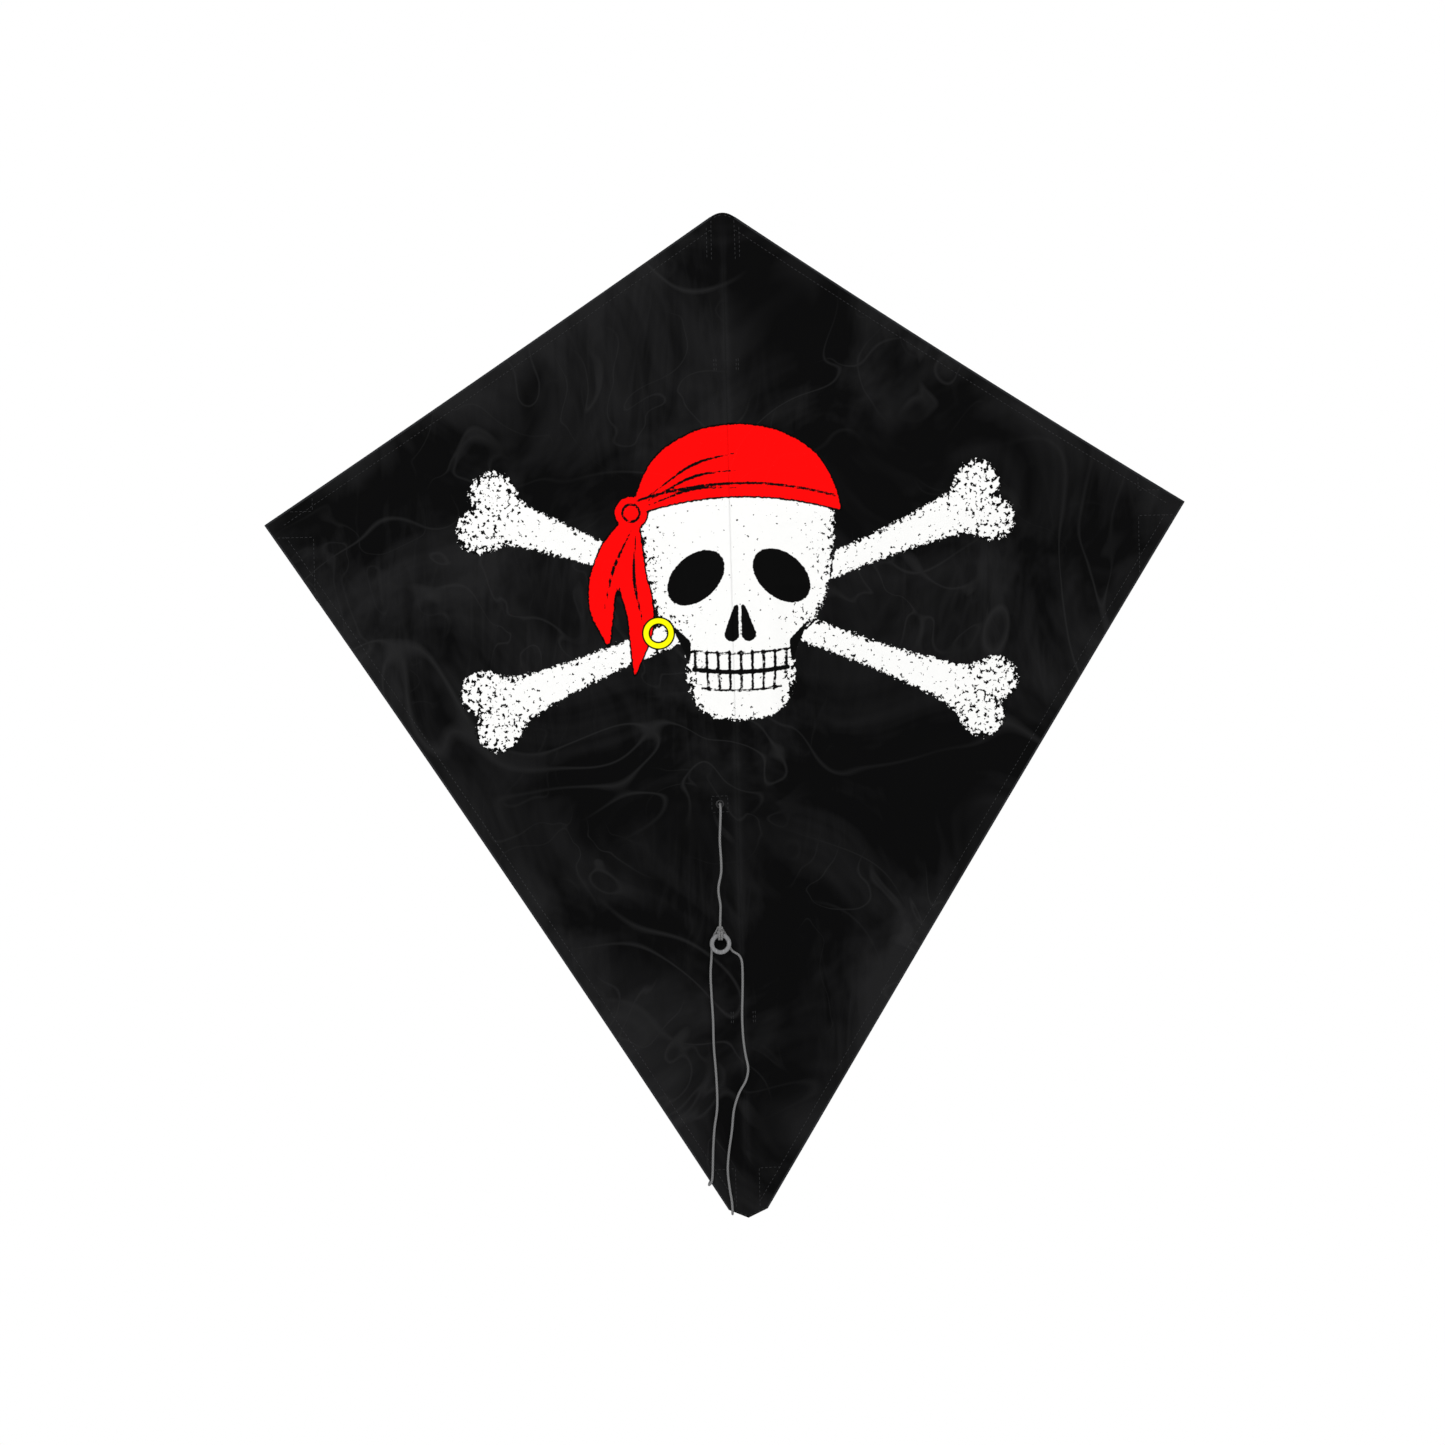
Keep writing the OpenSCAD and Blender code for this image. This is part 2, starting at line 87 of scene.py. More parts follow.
class Value:
    """A node's output. Each arithmetic operator adds the Math node that works it out."""

    def __init__(self, finish, output):
        self.finish = finish
        self.output = output

    def maths(self, operation, *others, clamp=False):
        values = dict(enumerate((self, *others)))
        return self.finish.node("ShaderNodeMath", {"operation": operation, "use_clamp": clamp}, values)

    def __add__(self, other):
        return self.maths("ADD", other)

    __radd__ = __add__

    def __mul__(self, other):
        return self.maths("MULTIPLY", other)

    __rmul__ = __mul__

    def __sub__(self, other):
        return self.maths("SUBTRACT", other)

    def __rsub__(self, other):
        return self.finish.node("ShaderNodeMath", {"operation": "SUBTRACT"}, {0: other, 1: self})

    def step(self, sharpness, middle=0.0):
        """0 below the middle and 1 above it, over a width of 1 / sharpness."""
        return ((self - middle) * sharpness).maths("ADD", 0.5, clamp=True)

    def at_most(self, other):
        return self.maths("MINIMUM", other)

    def at_least(self, other):
        return self.maths("MAXIMUM", other)


class Finish:
    """A material with one Principled shader. Numbers that are the same all over are set on its sockets."""

    def __init__(self, name, **uniform):
        self.material = bpy.data.materials.new(name)
        self.material.use_nodes = True
        self.tree = self.material.node_tree
        self.shader = self.tree.nodes["Principled BSDF"]
        for key, value in uniform.items():
            self.shader.inputs[key.replace("_", " ")].default_value = value

    def node(self, kind, settings=None, inputs=None, output=0):
        """Adds a node: first its settings, and a ramp's stops, then the numbers or links of its sockets."""
        made = self.tree.nodes.new(kind)
        for key, value in (settings or {}).items():
            if key == "stops":
                self.set_stops(made.color_ramp, value)
            else:
                setattr(made, key, value)
        for key, value in (inputs or {}).items():
            self.feed(made.inputs[key], value)
        return Value(self, made.outputs[output])

    def set_stops(self, ramp, stops):
        while len(ramp.elements) < len(stops):
            ramp.elements.new(0.5)
        for element, (place, colour) in zip(ramp.elements, stops):
            element.position = place
            element.color = (*colour, 1)

    def feed(self, socket, value):
        if isinstance(value, Value):
            self.tree.links.new(value.output, socket)
        elif isinstance(value, tuple) and len(value) == 3 and socket.type == "RGBA":
            socket.default_value = (*value, 1)
        else:
            socket.default_value = value

    def rest(self):
        """The piece's own UV map, in metres over the flat cloth or along and round a tube."""
        return self.node("ShaderNodeUVMap", {"uv_map": "rest"})

    def place(self):
        return self.node("ShaderNodeTexCoord", output="Object")

    def field(self, name):
        return self.node("ShaderNodeAttribute", {"attribute_name": name}, output="Fac")

    def stretched(self, vector, scale, turn=(0, 0, 0)):
        return self.node("ShaderNodeMapping", None, {"Vector": vector, "Scale": scale, "Rotation": turn})

    def parts(self, vector):
        """The first two components of a vector."""
        split = self.node("ShaderNodeSeparateXYZ", None, {0: vector}).output.node
        return [Value(self, split.outputs[k]) for k in (0, 1)]

    def noise(self, vector, scale, detail=2.0, rough=0.5, warp=0.0, flat=False):
        settings = {"noise_dimensions": "2D" if flat else "3D"}
        values = {"Vector": vector, "Scale": scale, "Detail": detail, "Roughness": rough, "Distortion": warp}
        return self.node("ShaderNodeTexNoise", settings, values)

    def mix(self, factor, a, b):
        """Colour a where the factor is 0 and colour b where it is 1."""
        return self.node("ShaderNodeMix", {"data_type": "RGBA"}, {0: factor, 6: a, 7: b}, 2)

    def look(self, colour=None, roughness=None, height=None, strength=0.3, distance=0.0003):
        """Feeds the shader: its colour, its roughness, and a Bump node from a height."""
        if colour is not None:
            self.feed(self.shader.inputs["Base Color"], colour)
        if roughness is not None:
            self.feed(self.shader.inputs["Roughness"], roughness)
        if height is not None:
            values = {"Strength": strength, "Distance": distance, "Height": height}
            self.feed(self.shader.inputs["Normal"], self.node("ShaderNodeBump", None, values))
        return self.material


def ridge(height, width):
    """1 along the lines where a noise passes through its middle value, down to 0 at that width each side."""
    return (1 - (height - 0.5).maths("ABSOLUTE") * (1 / width)).at_least(0)


def crumple(finish, uv):
    """Two masks over the cloth: soft folds, from noise drawn out along the edges of the two sides, and
    thin wandering creases where a warped noise passes through its middle, kept only in patches."""
    soft = []
    for turn, patch in ((0.98, 0.50), (-0.98, 0.52)):
        drawn = finish.stretched(uv, (34, 7.5, 1), (0, 0, turn))
        fold = ridge(finish.noise(drawn, 1.0, 3, 0.55, 0.7, flat=True), 0.13)
        soft.append(fold * finish.noise(uv, 6, 1, flat=True).step(5, patch))
    thin = []
    for scale, width, patch, level in ((7, 0.010, 5, 0.50), (19, 0.020, 8, 0.55)):
        line = ridge(finish.noise(uv, scale, 1, 0.5, 0.9, flat=True), width)
        thin.append(line * finish.noise(uv, patch, 1, flat=True).step(7, level))
    return soft[0].at_least(soft[1]), thin[0].at_least(thin[1] * 0.8)


def weave(finish, uv):
    """Threads over and under: a sine across times a sine along, one thread every THREAD_PITCH metres."""
    across, along = ((part * (2 * math.pi / THREAD_PITCH)).maths("SINE") for part in finish.parts(uv))
    return across * along


CLOTH = (0.0008, 0.0008, 0.0009)
# the paler end of the cloth's colour: the top of a random mottle, and the painted sheen on its folds and
# edges
CLOTH_MOTTLE_AND_SHEEN = (0.0090, 0.0090, 0.0094)
# painted highlight: the colour of the light caught along the thin creases
CREASE_SHEEN = (0.0175, 0.0175, 0.0180)
WHITE_INK = (0.73, 0.73, 0.72)
BLACK_INK = (0.0003, 0.0003, 0.0003)
RED_INK = (0.78, 0.0, 0.0)
YELLOW_INK = (0.78, 0.755, 0.0)


def sail_finish(name, shown, sheen):
    """Black woven cloth with the print on it. The fields give depths in millimetres; shown is the share
    of each ink's colour that is seen, 1 on the front and little on the back, and sheen the gloss."""
    finish = Finish(name, Specular_IOR_Level=sheen)
    uv = finish.rest()
    slow = finish.noise(uv, 8, 4, 0.62, 0.6, flat=True)
    folds, crease = crumple(finish, uv)
    # painted sheen: the cloth is painted paler along its soft folds, near its edges and down its middle, for
    # the light they catch, over a random mottle
    painted_edge_sheen = finish.field("print_edge")
    mottle_and_sheen = (slow - 0.5) * 3.1 + 0.06 + folds * 0.32 + painted_edge_sheen * (0.28 + slow * 0.5)
    cloth = finish.mix(mottle_and_sheen.maths("ADD", 0, clamp=True), CLOTH, CLOTH_MOTTLE_AND_SHEEN)
    # painted highlight: the thin creases are painted paler, for the light they catch
    cloth = finish.mix(crease * 0.42, cloth, CREASE_SHEEN)
    grain = finish.noise(uv, 290, 2, 0.65, flat=True)
    ragged = finish.noise(uv, 420, 2, 0.6, flat=True)
    edge = (ragged - 0.5) * 7.0
    white = (finish.field("print_white") + edge).step(2.2, 0.35)
    dots = ((finish.field("print_dots") * 0.46 + 0.245) - grain).step(30)
    red_depth = finish.field("print_red") + (ragged - 0.5) * 1.6
    yellow_depth = finish.field("print_yellow")
    black_depth = finish.field("print_black") + (ragged - 0.5) * 1.2
    uneven = finish.noise(uv, 160, 3, 0.6, flat=True)

    def ink(colour):
        return tuple(under + (over - under) * shown for under, over in zip(CLOTH, colour))

    worn = finish.mix(uneven * 0.10, ink(WHITE_INK), ink((0.53, 0.53, 0.53)))
    colour = finish.mix(white, cloth, finish.mix(dots, worn, ink(BLACK_INK)))
    colour = finish.mix((red_depth + 1.2).step(3), colour, ink(BLACK_INK))
    colour = finish.mix(red_depth.step(3), colour, finish.mix(uneven * 0.08, ink(RED_INK), ink((0.6, 0, 0))))
    colour = finish.mix((yellow_depth + 1.1).step(3), colour, ink(BLACK_INK))
    colour = finish.mix(black_depth.step(3), colour, ink(BLACK_INK))
    colour = finish.mix(yellow_depth.step(3), colour, ink(YELLOW_INK))
    inked = white.at_least(red_depth.step(3)).at_least(black_depth.step(3))
    roughness = 0.80 - inked * (0.16 * shown) - crease * 0.08 + (slow - 0.5) * 0.12
    lumps = finish.noise(uv, 55, 3, 0.6, flat=True)
    height = weave(finish, uv) * 0.10 + crease * 0.7 + folds * 0.6 + lumps * 0.5
    return finish.look(colour, roughness, height + inked * (0.12 * shown), 0.35, 0.0006)


def tape_finish(name, dark, light):
    """Folded cloth tape: a plain weave over soft mottling between its dye and a paler, bluish painted sheen.
    """
    finish = Finish(name, Specular_IOR_Level=0.12)
    uv = finish.rest()
    slow = finish.noise(uv, 45, 3, 0.6, flat=True)
    fuzz = finish.noise(uv, 900, 2, 0.6, flat=True)
    pucker = finish.noise(finish.stretched(uv, (260, 60, 1)), 1.0, 2, flat=True)
    # painted sheen: the paler, bluish colour stands for light caught by the tape, laid in random patches
    colour = finish.mix(slow.step(2.5, 0.5), dark, light)
    height = weave(finish, uv) * 0.2 + pucker * 0.9 + fuzz * 0.15
    return finish.look(colour, 0.66 + slow * 0.2, height, 0.5, 0.0005)


def thread_finish():
    """Sewing thread: two plies that show as slanting bands of painted highlight and painted shade."""
    finish = Finish("thread", Specular_IOR_Level=0.25)
    values = {"Vector": finish.rest(), "Scale": 650, "Distortion": 0.6}
    ply = finish.node("ShaderNodeTexWave", {"bands_direction": "DIAGONAL"}, values)
    # painted light: the colour runs from painted shade between the plies to painted highlight on them
    colour = finish.mix(ply, (0.007, 0.007, 0.008), (0.022, 0.022, 0.024))
    return finish.look(colour, 0.5 + ply * 0.2, ply, 0.4)


def rod_finish(name, axis):
    """Pale glass-fibre rod: long streaks of fibre along its axis, and faint sanding marks round it."""
    finish = Finish(name, Specular_IOR_Level=0.5, Coat_Roughness=0.25)
    place = finish.place()
    long_way = tuple(9 if k == axis else 1400 for k in range(3))
    round_way = tuple(900 if k == axis else 60 for k in range(3))
    streak = finish.noise(finish.stretched(place, long_way), 1.0, 4, 0.65)
    sanding = finish.noise(finish.stretched(place, round_way), 1.0, 2)
    stain = finish.noise(place, 16, 3)
    colour = finish.mix(streak.step(2.4, 0.5), (0.47, 0.44, 0.33), (0.68, 0.66, 0.56))
    colour = finish.mix(stain.step(4, 0.62) * 0.35, colour, (0.42, 0.36, 0.24))
    finish.feed(finish.shader.inputs["Coat Weight"], (streak * 0.25).at_most(0.3))
    return finish.look(colour, 0.32 + sanding * 0.22, streak * 0.7 + sanding * 0.3, 0.3, 0.00015)


def moulded_finish(name, dark, light, roughness, grain, strength, gloss, tube=0.0):
    """Moulded rubber or plastic: fine grain, slow mottling, and pale dust in scattered streaks. For a tube,
    tube is its way round in metres, and the pattern lies on its own map."""
    finish = Finish(name, Specular_IOR_Level=gloss)
    place = finish.stretched(finish.rest(), (tube, 1, 1)) if tube else finish.place()
    fine = finish.noise(place, grain, 3, 0.6)
    slow = finish.noise(place, 130, 3, 0.55)
    scuff = finish.noise(finish.stretched(place, (900, 900, 140), (0.3, 0.2, 0.6)), 1.0, 2).step(9, 0.66)
    colour = finish.mix(slow.step(2.2, 0.5), dark, light)
    colour = finish.mix(scuff * 0.35, colour, tuple(c * 2.2 + 0.01 for c in light))
    roughness = roughness + slow * 0.16 - scuff * 0.1
    return finish.look(colour, roughness, fine * 0.7 + slow * 0.5, strength, 0.0002)


def line_finish():
    """Braided line: strands cross on a slant both ways, with painted shade in the gaps between them."""
    finish = Finish("braided_line", Specular_IOR_Level=0.2)
    uv = finish.rest()
    across, run = finish.parts(uv)
    round_it, along = across * (2 * math.pi * STRANDS), run * (2 * math.pi / (BRAID_TURN * MM))
    strands = (round_it + along).maths("SINE").at_least((round_it - along).maths("SINE"))
    fuzz = finish.noise(finish.stretched(uv, (0.005, 1, 1)), 1500, 3, 0.7)
    # painted shade: the colour goes darker in the gaps between the strands and lighter on them
    shade = (strands + 0.6 + (fuzz - 0.5)).step(0.9, 0.9)
    colour = finish.mix(shade, (0.070, 0.070, 0.073), (0.170, 0.170, 0.170))
    return finish.look(colour, 0.78 + fuzz * 0.1, strands * 0.6 + fuzz * 0.4, 0.5, 0.0002)


def metal_finish():
    """Blackened brass: dark, and rubbed to a dull grey in small scratches."""
    finish = Finish("blackened_eyelet", Metallic=0.35, Specular_IOR_Level=0.3)
    place = finish.place()
    rubbed = finish.noise(finish.stretched(place, (1800, 500, 1800)), 1.0, 3, 0.6).step(8, 0.62)
    fine = finish.noise(place, 2400, 3)
    colour = finish.mix(rubbed * 0.6, (0.010, 0.010, 0.011), (0.07, 0.068, 0.06))
    return finish.look(colour, 0.42 - rubbed * 0.1 + fine * 0.12, fine + rubbed, 0.25, 0.0001)


cloth_front = sail_finish("printed_cloth", 1.0, 0.045)
cloth_back = sail_finish("cloth_back", 0.045, 0.11)
tape = tape_finish("folded_tape", (0.0085, 0.0088, 0.0096), (0.0155, 0.0162, 0.0180))
patch_tape = tape_finish("patch_tape", (0.0065, 0.0066, 0.0070), (0.0120, 0.0122, 0.0130))
thread = thread_finish()
spine_rod = rod_finish("glass_rod_upright", 2)
spar_rod = rod_finish("glass_rod_across", 0)
RUBBER = ((0.009, 0.009, 0.0095), (0.018, 0.018, 0.0188), 0.58, 2100, 0.45, 0.22)
vinyl = moulded_finish("vinyl_cap", (0.010, 0.010, 0.011), (0.018, 0.018, 0.020), 0.30, 1500, 0.25, 0.45)
rubber = moulded_finish("rubber", *RUBBER)
neck_rubber = moulded_finish("neck_rubber", *RUBBER, tube=0.022)
grey_plastic = moulded_finish(
    "grey_plastic", (0.125, 0.126, 0.130), (0.168, 0.168, 0.172), 0.48, 1700, 0.30, 0.35
)
line_grey = line_finish()
black_metal = metal_finish()


# ---- Print: fields over the cloth in millimetres, x to the right and z up from the hub ----
def smooth_loop(points, per=6, closed=True):
    """A Catmull-Rom curve through the points: on each span the cubic whose slope at a point is half
    the step from the point before it to the point after it."""
    p = np.asarray(points, float)
    if closed:
        q = np.vstack([p[-1], p, p[:2]])
    else:
        q = np.vstack([2 * p[0] - p[1], p, 2 * p[-1] - p[-2]])
    t = np.linspace(0, 1, per, endpoint=False)[None, :, None]
    a, b, c, d = q[:-3, None], q[1:-2, None], q[2:-1, None], q[3:, None]
    curve = 0.5 * (2 * b + (c - a) * t + (2 * a - 5 * b + 4 * c - d) * t**2 + (3 * b - a - 3 * c + d) * t**3)
    curve = curve.reshape(-1, p.shape[1])
    return curve if closed else np.vstack([curve, p[-1]])


def off_segment(x, z, a, b):
    """The share of the way from a to b that is nearest to each place, and the distance from there."""
    step = b - a
    t = np.clip(((x - a[0]) * step[0] + (z - a[1]) * step[1]) / max(step @ step, 1e-9), 0, 1)
    return t, np.hypot(x - a[0] - t * step[0], z - a[1] - t * step[1])


def line_depth(x, z, points, width):
    """Depth inside a pen stroke: half its width, given along the points, less the distance to the line."""
    p, w = np.asarray(points, float), np.atleast_1d(width)
    w = np.interp(np.linspace(0, 1, len(p)), np.linspace(0, 1, len(w)), w)
    depth = np.full(x.shape, -1e3)
    for a, b, wa, wb in zip(p[:-1], p[1:], w[:-1], w[1:]):
        t, gap = off_segment(x, z, a, b)
        depth = np.maximum(depth, wa + (wb - wa) * t - gap)
    return depth


def shape_depth(x, z, points):
    """Depth inside a closed outline: the distance to its nearest side, signed by the even-odd rule."""
    p = np.asarray(points, float)
    near = np.full(x.shape, 1e6)
    inside = np.zeros(x.shape, bool)
    for a, b in zip(p, np.roll(p, -1, axis=0)):
        near = np.minimum(near, off_segment(x, z, a, b)[1])
        rise = b[1] - a[1] if abs(b[1] - a[1]) > 1e-9 else 1e-9
        inside ^= ((a[1] > z) != (b[1] > z)) & (x < a[0] + (z - a[1]) * (b[0] - a[0]) / rise)
    return np.where(inside, near, -near)


def both_sides(half, middle):
    """A closed outline from its right half, mirrored about a vertical line."""
    half = np.asarray(half, float)
    return np.vstack([half, half[::-1] * [-1, 1]]) + [middle, 0]


# The emblem is a plain skull with a scarf, over two crossed bones, the same on both sides of its own middle.
# Its proportions are the usual ones for a head: from the crown to the chin, the eyes are at 0.50 of the
# height, the base of the nose at 0.71 and the line of the mouth at 0.82. Bones are drawn with equal ends.
HEAD_X, CROWN_Z = 5.0, 56.0
HEAD_HIGH, HEAD_HALF = 200.0, 68.0
HEAD_OUTLINE = [
    (0.14, 0.0), (0.45, 0.025), (0.78, 0.10), (0.97, 0.23), (1.0, 0.36), (0.94, 0.48), (0.90, 0.57),
    (0.78, 0.65), (0.62, 0.70), (0.56, 0.78), (0.56, 0.86), (0.48, 0.94), (0.30, 0.99), (0.12, 1.0),
]
OUTLINE = 2.2
BONE_MIDDLE = (5.0, -64.0)
BONE_HALF, BONE_TILT = 205.0, math.radians(21.5)
SHAFT_HALF, SHAFT_FLARE = 10.0, 10.0
KNOB_OFF, KNOB_R = 13.5, 17.0
LOBE_SOFT = 4.0
BROW, SCARF_OUT, KNOT_R = 0.27, 5, 11
EYE_OUT, EYE_SIZE, LEAN = 30, (19, 18), 0.2
RIBBONS = (((-2, 6), (-15, 32), (-22, 60), (-18, 92)), ((1, 8), (-1, 40), (5, 74), (0, 112)))
HOOP_OUT, HOOP_IN = 10.5, 7


def down(share):
    """The height at that share of the way from the crown to the chin."""
    return CROWN_Z - share * HEAD_HIGH


def oval_depth(across, high, half_wide, half_high):
    """Depth inside an oval: its smaller half size times one less the place's share of the way out."""
    return min(half_wide, half_high) * (1 - np.hypot(across / half_wide, high / half_high))


def bone_depth(x, z, tilt):
    """Depth inside a long bone at a tilt: a shaft that widens with the square of the way to its ends, and
    two equal round lobes at each end, met with a smooth maximum. Also the share of the way to an end."""
    across, high = x - BONE_MIDDLE[0], z - BONE_MIDDLE[1]
    along = np.abs(across * math.cos(tilt) + high * math.sin(tilt))
    side = np.abs(high * math.cos(tilt) - across * math.sin(tilt))
    share = along / BONE_HALF
    shaft = SHAFT_HALF + SHAFT_FLARE * np.clip((share - 0.40) / 0.5, 0, 1)**2 - side
    shaft = np.minimum(shaft, BONE_HALF - KNOB_R - along)
    knobs = KNOB_R - np.hypot(along - BONE_HALF + KNOB_R, side - KNOB_OFF)
    return np.logaddexp(shaft / LOBE_SOFT, knobs / LOBE_SOFT) * LOBE_SOFT - 1.0, share


def print_fields(x, z):
    """The five fields of the print at places x, z: depth inside the white, how dense its black dots are,
    depth inside the red, inside the yellow, and inside the black drawn over them."""
    bone_a, share_a = bone_depth(x, z, BONE_TILT)
    bone_b, share_b = bone_depth(x, z, -BONE_TILT)
    bones = np.maximum(bone_a, bone_b)
    ends = np.clip((np.where(bone_a > bone_b, share_a, share_b) - 0.74) / 0.14, 0, 1)
    bone_dots = 0.10 + 0.24 * ends + 0.42 * np.exp(-np.maximum(bones, 0) / 2.8)

    half = [(HEAD_HALF * across, down(share)) for across, share in HEAD_OUTLINE]
    skull = shape_depth(x, z, smooth_loop(both_sides(half, HEAD_X), 5))
    out = np.abs(x - HEAD_X)
    temple = np.exp(-((out - 58) / 12)**2 - ((z - down(0.40)) / 26)**2)
    cheek = np.exp(-((out - 40) / 13)**2 - ((z - down(0.64)) / 8)**2)
    jaw = np.exp(-((out - 34) / 8)**2 - ((z - down(0.86)) / 18)**2)
    skull_dots = 0.02 + 0.5 * np.exp(-np.maximum(skull, 0) / 3.4) + 0.22 * temple + 0.24 * cheek + 0.3 * jaw
    outline = (skull < 0) & (skull > -OUTLINE)
    white = np.where(outline, skull, np.maximum(skull, bones))
    dots = np.where(skull > 0, skull_dots, bone_dots)

    # scarf: the head's outline SCARF_OUT larger, above an even brow, with a round knot and two ribbons
    brow = z - down(BROW) - 10 * (1 - ((x - HEAD_X) / HEAD_HALF)**2)
    knot_x, knot_z = HEAD_X - HEAD_HALF - 6, down(BROW)
    ribbons = [[(knot_x + right, knot_z - fall) for right, fall in ribbon] for ribbon in RIBBONS]
    from_knot = np.hypot(x - knot_x, z - knot_z)
    red = np.maximum(np.minimum(skull + SCARF_OUT, brow), KNOT_R - from_knot)
    for ribbon in ribbons:
        red = np.maximum(red, line_depth(x, z, smooth_loop(ribbon, 6, False), (4, 9, 10, 8, 0.5)))

    # hoop: a plain ring below the side of the head
    hoop = np.hypot(x - HEAD_X + 57, z - down(0.69))
    yellow = np.minimum(HOOP_OUT - hoop, hoop - HOOP_IN)

    ink = [np.minimum(0.9 - np.abs(brow - 9), skull + 4), 0.9 - np.abs(from_knot - 6)]

    def face(across, share):
        return HEAD_X + across, down(share)

    def pen(width, *points, per=0):
        """Adds a stroke through the points, rounded off if per gives the steps to a span."""
        ink.append(line_depth(x, z, smooth_loop(points, per, False) if per else points, width))

    for side in (-1, 1):
        across, high = (x - HEAD_X) * side - EYE_OUT, z - down(0.50)
        ink.append(oval_depth(across + LEAN * high, high + LEAN * across, *EYE_SIZE))
        pen((1.6, 5.2), face(side * 2.5, 0.605), face(side * 6, 0.70))
        pen((0.4, 3.4, 0.4), face(side * 48, 0.66), face(side * 38, 0.73), face(side * 36, 0.80))
    for share, wide, width in ((0.755, 34, 0.8), (0.82, 33, 1.6), (0.885, 28, 0.8)):
        lip = [(HEAD_X + k * wide, down(share) - 2.5 * (1 - k * k)) for k in (-1, -0.5, 0, 0.5, 1)]
        pen(width, *lip, per=4)
    for k in range(-4, 5):
        pen(1.0, face(k * 8, 0.76), face(k * 8, 0.82))
        if abs(k) < 4:
            pen(0.9, face(k * 8, 0.82), face(k * 7.6, 0.895))
    for ribbon in ribbons:
        pen((0.3, 1.2, 0.3), *[(px + 2, pz - 6) for px, pz in ribbon[:3]], per=6)
    for k in (-0.6, 0.0, 0.6):
        start = (knot_x + 12, knot_z + 8 + 5 * k)
        pen((0.3, 1.1, 0.3), start, face(-30, 0.15 - 0.07 * k), face(0, 0.13 - 0.10 * k), per=6)
    return white, dots, red, yellow, np.maximum.reduce(ink)


# ---- Meshes from grids of points, in millimetres ----
def grid_faces(rows, columns, wrap_rows=False, wrap_columns=False, turned=False):
    """A grid's quads as vertex numbers, and each corner's row and column, counted on past a wrap."""
    r, c = np.meshgrid(
        np.arange(rows if wrap_rows else rows - 1), np.arange(columns if wrap_columns else columns - 1),
        indexing="ij",
    )
    corners = [(r, c), (r, c + 1), (r + 1, c + 1), (r + 1, c)]
    if turned:
        corners = corners[::-1]
    row = np.stack([a for a, _ in corners], -1).reshape(-1, 4)
    column = np.stack([b for _, b in corners], -1).reshape(-1, 4)
    return (row % rows) * columns + column % columns, row, column


def placed(x, y, z):
    """The points of a grid, one after another. What is the same along a row or column may be left short."""
    return np.stack(np.broadcast_arrays(x, y, z), -1).reshape(-1, 3)


def end_fans(rows, around):
    """Triangles that close a tube's two ends, to middle points that follow its last row."""
    k = np.arange(around)
    after = (k + 1) % around
    last = (rows - 1) * around
    first = np.stack([k, np.full(around, rows * around), after], -1)
    return np.vstack([first, np.stack([last + after, np.full(around, rows * around + 1), last + k], -1)])


def make_piece(name, points, quads, finish, triangles=None, corner_uv=None):
    """A mesh object at the origin, from points in millimetres and arrays of quads and triangles. Its map
    is given for the corners of the quads, or else it is the place on the flat cloth."""
    mesh = bpy.data.meshes.new(name)
    tris = np.zeros((0, 3), int) if triangles is None else np.asarray(triangles)
    corners = np.concatenate([quads.ravel(), tris.ravel()])
    starts = np.concatenate([np.arange(len(quads)) * 4, quads.size + np.arange(len(tris)) * 3])
    mesh.vertices.add(len(points))
    mesh.vertices.foreach_set("co", (np.asarray(points) * MM).astype(np.float32).ravel())
    mesh.loops.add(len(corners))
    mesh.loops.foreach_set("vertex_index", corners.astype(np.int32))
    mesh.polygons.add(len(starts))
    mesh.polygons.foreach_set("loop_start", starts.astype(np.int32))
    mesh.polygons.foreach_set("use_smooth", np.full(len(starts), True))
    mesh.update(calc_edges=True)
    mesh.validate()
    uv = mesh.uv_layers.new(name="rest")
    if corner_uv is None:
        corner_uv = points[:, [0, 2]][corners]
    else:
        corner_uv = np.vstack([corner_uv, np.zeros((tris.size, 2))])
    uv.data.foreach_set("uv", (corner_uv * MM).astype(np.float32).ravel())
    for finish_used in finish if isinstance(finish, tuple) else (finish,):
        mesh.materials.append(finish_used)
    piece = bpy.data.objects.new(name, mesh)
    scene.collection.objects.link(piece)
    return piece


def thicken(piece, thickness, back_material=0):
    """A wall of that thickness in millimetres, half to each side of the surface."""
    wall = piece.modifiers.new("wall", "SOLIDIFY")
    wall.thickness = thickness * MM
    wall.offset = 0.0
    wall.material_offset = back_material


def joined(parts):
    """Several (points, quads, triangles) as one: the points in a row, and the faces counted on."""
    points, quads, triangles, start = [], [], [], 0
    for p, q, t in parts:
        points.append(p)
        quads.append(q + start)
        triangles.append(t + start)
        start += len(p)
    return np.vstack(points), np.vstack(quads), np.vstack(triangles)


def unit(v):
    return v / np.maximum(np.linalg.norm(v, axis=-1, keepdims=True), 1e-12)


def run_along(path):
    """The distance along a path to each of its points."""
    return np.concatenate([[0], np.cumsum(np.linalg.norm(np.diff(path, axis=0), axis=1))])


def carried_frames(path):
    """Two directions square to a path that turn along it as little as they can: each pair is the one
    before it with its part along the new direction taken out."""
    ahead = unit(np.gradient(path, axis=0))
    first = np.array([1.0, 0, 0]) if abs(ahead[0, 0]) < 0.8 else np.array([0, 0, 1.0])
    side = np.zeros_like(path)
    for i, d in enumerate(ahead):
        first = unit(first - (first @ d) * d)
        side[i] = first
    return side, np.cross(ahead, side)


